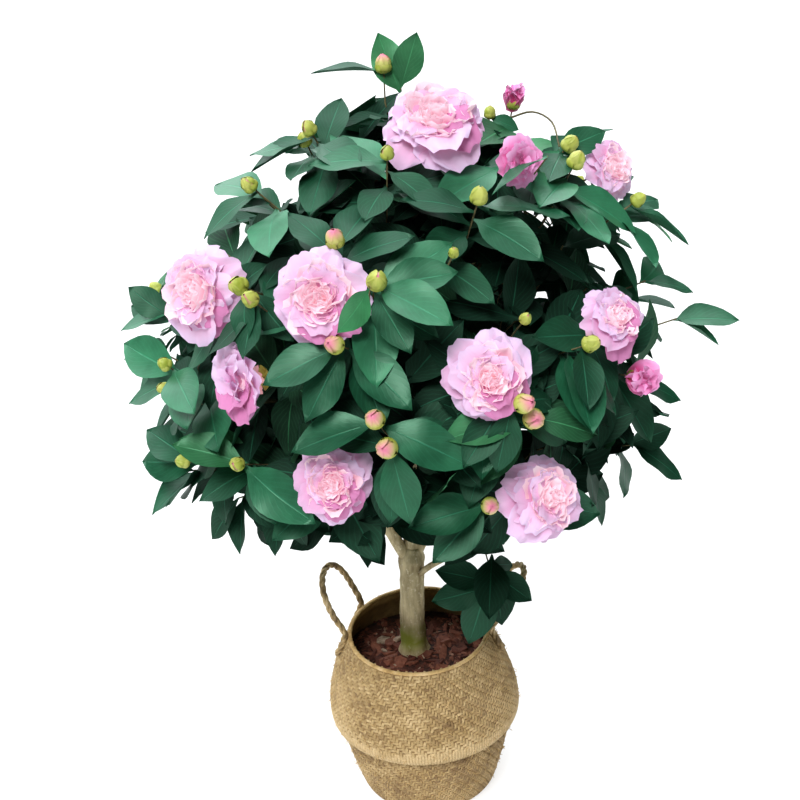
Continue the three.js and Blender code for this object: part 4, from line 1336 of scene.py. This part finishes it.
# %% Their finishes
bud_pink = Finish("bud core", 0.5)
across, along = bud_pink.uv()
cloud = bud_pink.noise(90, 3)
bud_pink.set(Base_Color=bud_pink.mix(along.clip(0.5, 0.95), (0.62, 0.5, 0.2), (0.86, 0.32, 0.46)),
             Roughness=0.42 + cloud * 0.15)
bud_pink.bump(cloud, 0.4, 0.4)
scale_green = Finish("bud scale", 0.5)
across, along = scale_green.uv()
length = along - along.over(1.0)
cloud = scale_green.noise(110, 3)
green = scale_green.mix(cloud.clip(0.3, 0.7), (0.30, 0.38, 0.045), (0.50, 0.56, 0.11))
tone = scale_green.attribute("tone")
green = scale_green.mix(tone.clip(0.0, 2.0), green, (0.62, 0.62, 0.2))
green = scale_green.mix(length.clip(0.84, 1.0) * 0.4, green, (0.66, 0.50, 0.24))
blushing = tone.over(1.5) * (length + cloud * 0.3 - 0.15).clip(0.42, 0.95)
scale_green.set(Base_Color=scale_green.mix(blushing * 0.9, green, (0.80, 0.22, 0.40)),
                Roughness=0.42 + cloud * 0.2)
scale_green.bump(cloud, 0.5, 0.4)
bud_pieces = [set_out("bud_cores", cores, core_box, bud_pink),
              set_out("bud_scales", scales, scale_box, scale_green)]

# %% [markdown]
# ## The basket
# A belly basket is plaited from flat seagrass in a twill: every strip passes over two and under
# two, one step further along on each row. Its belly is then folded down on itself, which
# leaves a thick rolled ridge. A thin shell carries the form, and short domed strips are set
# out on it row by row, upright and level in turn, so the weave is real relief. Along the
# ridge and under the loops only upright strips show, as on the real basket.

# %% The basket's profile
BASKET_WALL = 6
RIM_DEPTH = 1.11
BASKET_LEAN = 2.2
BASKET_OUTSIDE = [
    (86, 0), (94, 8), (105, 44), (114, 80), (119.5, 107),
    (126, 110), (130, 119), (130.5, 136), (127, 158), (116, 194), (103, 222), (96.5, BASKET_RIM),
]
LOOP_BEARINGS = {"left": 162, "right": 9}
WEAVE = {"pitch": 4.0, "around": 200, "proud": 1.05}
RIDGE = (104, 127)
LOOP_PATCH = {"above": 206, "within": 21}


def wall_radius(z):
    for (r0, z0), (r1, z1) in zip(BASKET_OUTSIDE, BASKET_OUTSIDE[1:]):
        if z <= z1:
            return r0 + (r1 - r0) * (z - z0) / (z1 - z0)
    return BASKET_OUTSIDE[-1][0]


def on_wall(r, a, z):
    """A point of the basket at a radius, an angle and a height: the foot leans, the rim is oval."""
    lean = BASKET_LEAN * (1 - smooth(110, 195, z))
    depth = 1 + (RIM_DEPTH - 1) * smooth(140, BASKET_RIM, z)
    return Vector((lean + r * math.cos(a), r * depth * math.sin(a), z))


OUTER = [(p.x, p.z) for p in rounded_line([Vector((r, 0, z)) for r, z in BASKET_OUTSIDE], 5)]
INNER = [(wall_radius(z) - BASKET_WALL, z)
         for z in (BASKET_RIM - 1, 222, 194, 158, 119, 80, BASKET_WALL)]
print("the basket is", 2 * max(r for r, _ in OUTER), "mm wide")


# %% The shell
def turned_mesh(name, profile, sides):
    """A closed body of the basket, turned from a profile that starts and ends on the axis."""
    verts, faces = [on_wall(0, 0, profile[0][1])], []
    for r, z in profile[1:-1]:
        verts += [on_wall(r, FULL_TURN * j / sides, z) for j in range(sides)]
    verts.append(on_wall(0, 0, profile[-1][1]))
    rings = len(profile) - 2
    for j in range(sides):
        k = (j + 1) % sides
        faces.append((0, 1 + k, 1 + j))
        for i in range(rings - 1):
            a, b = 1 + i * sides, 1 + (i + 1) * sides
            faces.append((a + j, a + k, b + k, b + j))
        last = 1 + (rings - 1) * sides
        faces.append((last + j, last + k, len(verts) - 1))
    mesh = bpy.data.meshes.new(name)
    mesh.from_pydata([v * MM for v in verts], [], faces)
    mesh.polygons.foreach_set("use_smooth", [True] * len(faces))
    return new_object(name, mesh)


shell_profile = [(0, 0), *[(max(r - WEAVE["proud"], 1), z + (0.5 if z < 1 else 0)) for r, z in OUTER],
                 (wall_radius(BASKET_RIM) - 3, BASKET_RIM), *INNER, (0, BASKET_WALL)]
shell = turned_mesh("basket_shell", shell_profile, 96)
print("the shell has", len(shell.data.polygons), "faces")


# %% The shape of a strip
def strip_shape():
    """A strip from one crossing to the next: domed, narrow where it dives under, closed below."""
    shape = bmesh.new()
    section = [(-0.5, -0.5), (-0.3, 0.5), (0.3, 0.5), (0.5, -0.5)]
    rings = [[shape.verts.new((x * wide, y, z * high + (high - 1) * 0.3)) for x, z in section]
             for y, wide, high in [(-0.5, 0.9, 0.35), (0, 1.06, 1.0), (0.5, 0.9, 0.35)]]
    for a, b in zip(rings, rings[1:]):
        for j in range(4):
            k = (j + 1) % 4
            shape.faces.new([a[j], b[j], b[k], a[k]]).smooth = True
    shape.faces.new(rings[0])
    shape.faces.new(rings[-1][::-1])
    bmesh.ops.recalc_face_normals(shape, faces=shape.faces)
    return to_mesh(shape, "strip")


strip_box = shape_box("strip", [strip_shape()])


# %% The strips of the weave
def nearness(a, bearing):
    """How close an angle is to a bearing, in degrees."""
    return abs((math.degrees(a) - bearing + 180) % 360 - 180)


def weave_rows(profile):
    """Each row of the weave: its radius and height, and which way the profile runs there."""
    left = 0
    for (r0, z0), (r1, z1) in zip(profile, profile[1:]):
        span = math.hypot(r1 - r0, z1 - z0)
        while left < span:
            t = left / span
            yield r0 + (r1 - r0) * t, z0 + (z1 - z0) * t, (r1 - r0) / span, (z1 - z0) / span
            left += WEAVE["pitch"]
        left -= span


def weave(profile, inside):
    """Places for the strips: a twill, with upright strips on the ridge and under the loops."""
    for i, (r, z, dr, dz) in enumerate(weave_rows(profile)):
        ridge = not inside and RIDGE[0] < z < RIDGE[1]
        paler = -0.1
        if z > 124:
            paler = 0.03 + 0.3 * (1 - smooth(127, 150, z))
        if ridge:
            paler = 0.5
        for j in range(WEAVE["around"]):
            a = FULL_TURN * j / WEAVE["around"]
            near = min(nearness(a, b) for b in LOOP_BEARINGS.values())
            patch = not inside and z > LOOP_PATCH["above"] and near < LOOP_PATCH["within"]
            upright = ridge or patch or (i + j) % 4 < 2
            if upright and (i + j) % 2 and not ridge:
                continue
            if not upright and (i + j) % 4 == 3:
                continue
            wall = on_wall(r, a, z)
            level = (on_wall(r, a + 0.01, z) - wall).normalized()
            climb = (on_wall(r + dr, a, z + dz) - wall).normalized()
            out = level.cross(climb) * (-1 if inside else 1)
            step = FULL_TURN * wall.to_2d().length / WEAVE["around"]
            mottle = noise.noise(Vector((math.cos(a) * 3, math.sin(a) * 3, z * 0.035)))
            odd = noise.noise(Vector((j * 1.7, i * 2.3, 4)))
            tone = 0.48 + mottle * 0.4 + 0.6 * odd + paler
            if patch and j % 3 == 0:
                tone -= 0.6
            if upright:
                skew = (0.16 if (i + j) % 4 < 2 else -0.1) + 0.3 * odd
                along = climb + level * skew
                size = (step * 1.04, WEAVE["pitch"] * 2.15, WEAVE["proud"] * (1.35 if ridge else 1.05))
                place = wall
            else:
                along = level + climb * 0.25 * odd
                size = (WEAVE["pitch"] * 1.02, step * 2.15, WEAVE["proud"])
                place = on_wall(r, a + math.pi / WEAVE["around"], z)
            across = out.cross(along).normalized() * -1
            place -= out * WEAVE["proud"] * 0.6
            yield place, across, along, size, 0, max(0.0, min(1.0, tone))


outer_strips = list(weave([p for p in OUTER if p[1] >= 2 or p[0] > 86], False))
inner_strips = list(weave([(r + 0.2, z) for r, z in INNER if z > 150][::-1], True))
print(len(outer_strips), "strips outside and", len(inner_strips), "inside")


# %% The finish of seagrass
def seagrass(name, dark, mid, pale, grain, dealt=False):
    """dealt: the tone comes from each strip; else it drifts along the piece."""
    finish = Finish(name, 0.75)
    fibre = finish.noise(1, 4, 0.6, finish.stretched(grain, grain, grain))
    mottle = finish.noise(26, 4)
    tone = finish.attribute("tone") if dealt else finish.noise(70, 2).clip(0.3, 0.7)
    colour = finish.mix(tone.clip(0.0, 0.5), dark, mid)
    colour = finish.mix(tone.clip(0.5, 1.0), colour, pale)
    colour = finish.mix(mottle.clip(0.35, 0.7) * 0.35, colour, pale)
    colour = finish.mix(fibre.clip(0.35, 0.6) * 0.3, colour, dark)
    finish.set(Base_Color=colour, Roughness=0.62 + fibre * 0.25)
    finish.bump(fibre, 0.6, 0.7)
    return finish


GRASS = seagrass("seagrass", (0.22, 0.135, 0.06), (0.50, 0.355, 0.165), (0.74, 0.565, 0.32), 420,
                 dealt=True)
SHADE = seagrass("shaded seagrass", (0.20, 0.12, 0.05), (0.32, 0.21, 0.09), (0.42, 0.29, 0.13), 420)
shell.data.materials.append(SHADE.material)
weave_out = set_out("basket_weave", outer_strips, strip_box, GRASS)
weave_in = set_out("basket_lining", inner_strips, strip_box, GRASS)

# %% [markdown]
# ## The rope loops and the rim
# Each loop is a rope of three twisted strands that comes up out of the wall, passes the rim and
# arches over. A strand is a line that winds round the rope's own path, so a second tree turns
# lines into round strands: Mesh to Curve, then Curve to Mesh. The same tree makes the thin
# binding that is whipped round the rim.

# %% The tree that turns lines into strands
bench, STRAND, wires = new_tree("strands", [
    ("Geometry", "Geometry"), ("Radius", "Float"), ("Sides", "Int"), ("Finish", "Material")])
line = bench.node("GeometryNodeMeshToCurve", {}, {"Mesh": wires["Geometry"]})
circle = bench.node("GeometryNodeCurvePrimitiveCircle", {"mode": "RADIUS"}, {
    "Resolution": wires["Sides"], "Radius": wires["Radius"]})
round_line = bench.node("GeometryNodeCurveToMesh", {}, {
    "Curve": line, "Profile Curve": circle, "Fill Caps": True})
close_tree(bench, round_line, wires["Finish"])


def strands(name, lines, radius, sides, finish):
    verts, edges = [], []
    for points, closed in lines:
        first = len(verts)
        verts += [p * MM for p in points]
        edges += [(i, i + 1) for i in range(first, len(verts) - 1)]
        if closed:
            edges.append((len(verts) - 1, first))
    mesh = bpy.data.meshes.new(name)
    mesh.from_pydata(verts, edges, [])
    made = worked_out(new_object(name, mesh), bpy.data.node_groups["strands"], [
        (STRAND["Radius"], radius * MM), (STRAND["Sides"], sides), (STRAND["Finish"], finish.material)])
    made.data.polygons.foreach_set("use_smooth", [True] * len(made.data.polygons))
    print(name, "has", len(made.data.polygons), "faces")
    return made


def wound(path, radius, turns_per_mm, strand, count):
    """A line that winds round a path: strand number `strand` of `count`."""
    points, travelled, side = [], 0, None
    for i, p in enumerate(path):
        ahead = (path[min(i + 1, len(path) - 1)] - path[max(i - 1, 0)]).normalized()
        side = across_of(ahead)[0] if side is None else (side - ahead * side.dot(ahead)).normalized()
        other = ahead.cross(side)
        if i:
            travelled += (p - path[i - 1]).length
        a = FULL_TURN * (travelled * turns_per_mm + strand / count)
        points.append(p + side * radius * math.cos(a) + other * radius * math.sin(a))
    return points


# %% The loops' paths
ROPE = 9
TWIST = {"radius": 2.25, "strand": 2.35, "turn": 36}
# Half the distance of the feet, how much the loop swells, its lean outwards and its rise.
LOOPS = {"left": (36, 0.36, 25, 80), "right": (30, 0.2, 40, 84)}
LOOP_TAIL = 30


def handle_path(bearing, half, belly, lean, rise):
    a, b = math.radians(bearing), math.radians(lean)
    out = Vector((math.cos(a), math.sin(a), 0))
    over = UP * math.cos(b) + out * math.sin(b)

    def standing(sign, z):
        wall = wall_radius(min(z, BASKET_RIM)) + ROPE / 2 - 1
        return Vector((*on_wall(wall, a + sign * math.asin(half / wall), min(z, BASKET_RIM)).to_2d(), z))

    feet = [standing(-1, BASKET_RIM + 6), standing(1, BASKET_RIM + 6)]
    middle, across = feet[0].lerp(feet[1], 0.5), (feet[1] - feet[0]) * 0.5
    loop = []
    for i in range(1, 11):
        t = math.pi * i / 11
        aside = across * math.cos(t) * (1 + belly * math.sin(t))
        loop.append(middle - aside + over * rise * math.sin(t) ** 0.85)
    low = BASKET_RIM - LOOP_TAIL
    return [standing(-1, low), standing(-1, BASKET_RIM - 12), feet[0], *loop, feet[1],
            standing(1, BASKET_RIM - 12), standing(1, low)]


ROPE_GRASS = seagrass("rope", (0.16, 0.10, 0.045), (0.54, 0.40, 0.20), (0.78, 0.62, 0.38), 500)
ropes = []
for side, sizes in LOOPS.items():
    path = rounded_line(handle_path(LOOP_BEARINGS[side], *sizes), 12)
    lines = [(wound(path, TWIST["radius"], 1 / TWIST["turn"], k, 3), False) for k in range(3)]
    ropes.append(strands("rope_" + side, lines, TWIST["strand"], 8, ROPE_GRASS))

# %% The rim's binding
RIM = {"steps": 720, "windings": 110, "inset": 3.2, "wide": 2.1, "high": 1.3, "strand": 1.15}


def rim_line(share):
    """One strand whipped round the rim; it starts at a share of a winding."""
    line = []
    for i in range(RIM["steps"]):
        a = FULL_TURN * (i * RIM["windings"] / RIM["steps"] + share)
        r = BASKET_OUTSIDE[-1][0] - RIM["inset"] + RIM["wide"] * math.cos(a)
        z = BASKET_RIM + RIM["high"] * math.sin(a)
        line.append(on_wall(r, FULL_TURN * i / RIM["steps"], z))
    return line


rim_lines = [(rim_line(k / 3), True) for k in range(3)]
PALE_GRASS = seagrass("rim seagrass", (0.42, 0.26, 0.10), (0.66, 0.46, 0.2), (0.80, 0.62, 0.36), 400)
rim = strands("basket_rim", rim_lines, RIM["strand"], 5, PALE_GRASS)

# %% [markdown]
# ## Loose fibres
# Hand-plaited grass is never clean: short ends stand off the strips all over. Each is a line
# of three points that starts under the weave and droops a little, and the same tree as for the
# ropes makes it round.

# %% Fibres that stand off the weave
FIBRES = 900
fibre_random = seeded(23)
fibre_lines = []
for _ in range(FIBRES):
    a, z = FULL_TURN * fibre_random(), 20 + 210 * fibre_random()
    foot = on_wall(wall_radius(z) - 0.5, a, z)
    out = (on_wall(wall_radius(z) + 1, a, z) - on_wall(wall_radius(z), a, z)).normalized()
    level = UP.cross(out)
    way = out * (0.3 + 0.5 * fibre_random()) + level * (fibre_random() - 0.5) * 2
    way += UP * (fibre_random() - 0.5) * 2
    reach = 3 + 5 * fibre_random()
    end = foot + way * reach - UP * 0.15 * reach
    fibre_lines.append(([foot, foot + way * reach * 0.5, end], False))
fibres = strands("basket_fibres", fibre_lines, 0.38, 3, PALE_GRASS)

# %% [markdown]
# ## Mulch
# The plant stands in bark mulch: flat reddish chips of all sizes over dark coir. The bed is a
# low uneven mound, turned like a dish, and a third tree scatters the chips: Distribute Points
# on Faces, a random turn and size for each point, then a chip on it. The seed is fixed.

# %% The bed
SOIL_TOP = 200
LOOSE_FROM = 0.192  # metres: lumps and chips lie only on what is higher
BED = [(0, 6.3), *[(wall_radius(z) - BASKET_WALL - 0.8, z) for z in (6.4, 80, 119, 158, 190)],
       (88, 195), (80, 197), (70, 197.5), (58, 198), (46, 198.5), (34, 199), (22, 199.5),
       (11, SOIL_TOP), (0, SOIL_TOP)]

bed = turned_mesh("mulch_bed", BED, 72)
for vertex in bed.data.vertices:
    if vertex.co.z > LOOSE_FROM:
        p = vertex.co / MM
        lump = 3 * noise.noise(Vector((p.x * 0.06, p.y * 0.06, 3)))
        lump += 1.6 * noise.noise(Vector((p.x * 0.2, p.y * 0.2, 9)))
        vertex.co.z += min(0.5, lump) * MM
print("the bed has", len(bed.data.polygons), "faces")

# %% The tree that scatters chips
bench, SCATTER, wires = new_tree("scatter", [
    ("Geometry", "Geometry"), ("Shapes", "Collection"), ("Per Square Metre", "Float"),
    ("Smallest", "Float"), ("Largest", "Float"), ("Seed", "Int"), ("Finish", "Material")])
spread = bench.node("GeometryNodeDistributePointsOnFaces", {"distribute_method": "RANDOM"}, {
    "Mesh": wires["Geometry"], "Density": wires["Per Square Metre"], "Seed": wires["Seed"]})
lean = bench.node("FunctionNodeRandomValue", {"data_type": "FLOAT_VECTOR"}, {
    0: (-0.5, -0.5, 0), 1: (0.5, 0.5, 6.283), "Seed": wires["Seed"]})
size = bench.node("FunctionNodeRandomValue", {"data_type": "FLOAT"}, {
    2: wires["Smallest"], 3: wires["Largest"], "Seed": wires["Seed"]}, out=1)
pick = bench.node("FunctionNodeRandomValue", {"data_type": "INT"}, {
    4: 0, 5: 3, "Seed": wires["Seed"]}, out=2)
tone = bench.node("FunctionNodeRandomValue", {"data_type": "FLOAT"}, {
    2: 0.0, 3: 1.0, "Seed": wires["Seed"]}, out=1)
chips = bench.node("GeometryNodeCollectionInfo", {}, {
    "Collection": wires["Shapes"], "Separate Children": True, "Reset Children": True})
laid = bench.node("GeometryNodeInstanceOnPoints", {}, {
    "Points": spread, "Instance": chips, "Pick Instance": True, "Instance Index": pick, "Scale": size,
    "Rotation": bench.node("FunctionNodeEulerToRotation", {}, {0: lean})})
toned = bench.node("GeometryNodeStoreNamedAttribute", {"data_type": "FLOAT", "domain": "INSTANCE"}, {
    "Geometry": laid, "Name": "tone", "Value": tone})
close_tree(bench, toned, wires["Finish"])
print("the scatter tree has", len(bench.tree.nodes), "nodes")


# %% The chips
def chip_shape(seed, long, wide, thick):
    """A splinter of bark: a flat rough block with broken ends."""
    draw = seeded(seed)
    shape = bmesh.new()
    bmesh.ops.create_icosphere(shape, subdivisions=1, radius=0.5)
    for vertex in shape.verts:
        x, y, z = vertex.co
        vertex.co = (x * wide * (0.8 + 0.5 * draw()), y * long * (0.8 + 0.5 * draw()),
                     max(-0.3, min(0.3, z)) * thick * (0.8 + 0.6 * draw()))
    return to_mesh(shape, "chip")


chip_box = shape_box("chip", [chip_shape(3, 1.3, 0.8, 0.5), chip_shape(5, 1.6, 0.5, 0.4),
                              chip_shape(8, 1.0, 0.9, 0.35), chip_shape(13, 1.9, 0.3, 0.3)])
mulch = Finish("bark mulch", 0.9)
cloud = mulch.noise(220, 4)
tone = mulch.attribute("tone")
red = mulch.mix(tone.clip(0.0, 0.55), (0.035, 0.014, 0.01), (0.15, 0.042, 0.024))
red = mulch.mix(tone.clip(0.55, 0.9), red, (0.27, 0.10, 0.06))
red = mulch.mix(tone.clip(0.93, 0.97), red, (0.45, 0.34, 0.25))
mulch.set(Base_Color=mulch.mix(cloud.clip(0.3, 0.7) * 0.5, red, (0.03, 0.012, 0.009)),
          Roughness=0.7 + cloud * 0.25)
mulch.bump(cloud, 1.0, 0.8)
coir = Finish("coir", 0.95)
cloud = coir.noise(160, 5)
coir.set(Base_Color=coir.mix(cloud.clip(0.35, 0.65), (0.012, 0.006, 0.004), (0.11, 0.035, 0.02)),
         Roughness=0.85 + cloud * 0.1)
coir.bump(cloud, 2.0, 0.9)
bed.data.materials.append(coir.material)


def scatter(name, reach, per_square_metre, smallest, largest, seed):
    """Chips on the open part of the bed, out to a reach from the middle."""
    ground = bmesh.new()
    ground.from_mesh(bed.data)
    away = []
    for face in ground.faces:
        middle = face.calc_center_median()
        if middle.z < LOOSE_FROM or face.normal.z < 0.5 or middle.xy.length > reach * MM:
            away.append(face)
    bmesh.ops.delete(ground, geom=away, context="FACES")
    mesh = to_mesh(ground, name)
    return worked_out(new_object(name, mesh), bpy.data.node_groups["scatter"], [
        (SCATTER["Shapes"], chip_box), (SCATTER["Per Square Metre"], float(per_square_metre)),
        (SCATTER["Smallest"], smallest * MM), (SCATTER["Largest"], largest * MM),
        (SCATTER["Seed"], seed), (SCATTER["Finish"], mulch.material)])


chips_large = scatter("chips_large", 84, 5600, 12, 26, 5)
chips_small = scatter("chips_small", 104, 42000, 3, 9, 11)
print("chips:", len(chips_large.data.polygons), "and", len(chips_small.data.polygons), "faces")

# %% [markdown]
# ## Putting the pieces in place of the solids
# Each piece rides on the one body, and the solids it stands for are hidden. The list also names
# a slot for leaves, wood, basket, ropes and mulch, which is not used; petals and buds have none.

# %% Pieces, solids and slots
foliage_nodes = [name for name in frame["nodes"] if name.startswith("leaves_")]
wood_nodes = [name for name in frame["nodes"] if name in limbs]
for pieces, slot, nodes in [
    (leaf_pieces, "foliage", foliage_nodes), (petal_pieces + bud_pieces, None, foliage_nodes),
    ([twigs], "bark", foliage_nodes), ([wood], "bark", wood_nodes),
    ([shell, weave_out, weave_in, rim, fibres], "seagrass", ["basket"]),
    ([ropes[0]], "rope", ["handle_left"]), ([ropes[1]], "rope", ["handle_right"]),
    ([bed, chips_large, chips_small], "bark_mulch", ["soil"]),
]:
    for piece in pieces:
        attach(piece, "root")
        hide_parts(*nodes)
print(len(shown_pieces()), "pieces and", sum(triangles(piece.data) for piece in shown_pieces()), "triangles")

# %% [markdown]
# ## Floor, light and camera
# The plant stands in a bright studio. The white all round is only seen and lights nothing, so the
# inside of the crown stays dark. A large soft light from the upper left in front draws the shadows,
# a still softer one from behind lies as gloss on the leaves, and the floor glows a little and fills
# the shadows from below. The camera looks down on the crown from above head height and is turned
# a few degrees about its own axis, so the stem leans a touch to the left.

# %% Floor and light
FLOOR = 30  # metres from the middle to each side
floor_mesh = bpy.data.meshes.new("floor")
corners = [(-FLOOR, -FLOOR, 0), (FLOOR, -FLOOR, 0), (FLOOR, FLOOR, 0), (-FLOOR, FLOOR, 0)]
floor_mesh.from_pydata(corners, [], [(0, 1, 2, 3)])
floor = new_object("floor", floor_mesh)
paper = Finish("pale floor", 0.9, Emission_Strength=0.6)
pale = paper.mix(paper.noise(2, 2), (0.34, 0.34, 0.34), (0.36, 0.36, 0.36))
paper.set(Base_Color=pale, Emission_Color=(1, 1, 1, 1))
floor.data.materials.append(paper.material)
floor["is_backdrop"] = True

world = bpy.data.worlds.new("white studio")
world.use_nodes = True
world.node_tree.nodes["Background"].inputs[0].default_value = (1, 1, 1, 1)
world.cycles_visibility.diffuse = False
world.cycles_visibility.glossy = False
scene.world = world


def lamp(name, bearing, lift, spread, power, colour=(1, 1, 1)):
    """A soft far light: bearing 0 is on the right, 90 behind the plant."""
    data = bpy.data.lights.new(name, "SUN")
    data.color = colour
    data.angle = math.radians(spread)
    data.energy = power
    made = bpy.data.objects.new(name, data)
    made.rotation_mode = "QUATERNION"
    made.rotation_quaternion = facing(bearing, lift).to_track_quat("Z", "Y")
    scene.collection.objects.link(made)


lamp("key", -108, 50, 28, 2.5)
lamp("gloss", 110, 52, 85, 3.8, (0.92, 0.97, 1.0))
scene.view_settings.view_transform = "Standard"
scene.view_settings.look = "Medium High Contrast"
print("the studio is lit")

# %% Camera
PITCH, ROLL = 24.5, -4.2
CAMERA_PLACE = (-0.002, -1.6, 1.31)
LENS, SENSOR = 63, 36
pitch, roll = math.radians(PITCH), math.radians(ROLL)
ahead = Vector((0, math.cos(pitch), -math.sin(pitch)))
level, up = Vector((1, 0, 0)), Vector((0, math.sin(pitch), math.cos(pitch)))
right = level * math.cos(roll) + up * math.sin(roll)
above = up * math.cos(roll) - level * math.sin(roll)
camera_data = bpy.data.cameras.new("camera")
camera_data.lens = LENS
camera_data.sensor_width = SENSOR
camera = bpy.data.objects.new("camera", camera_data)
camera.matrix_world = Matrix((right, above, -ahead)).transposed().to_4x4()
camera.location = CAMERA_PLACE
scene.collection.objects.link(camera)
scene.camera = camera
print("the camera stands at", tuple(camera.location))
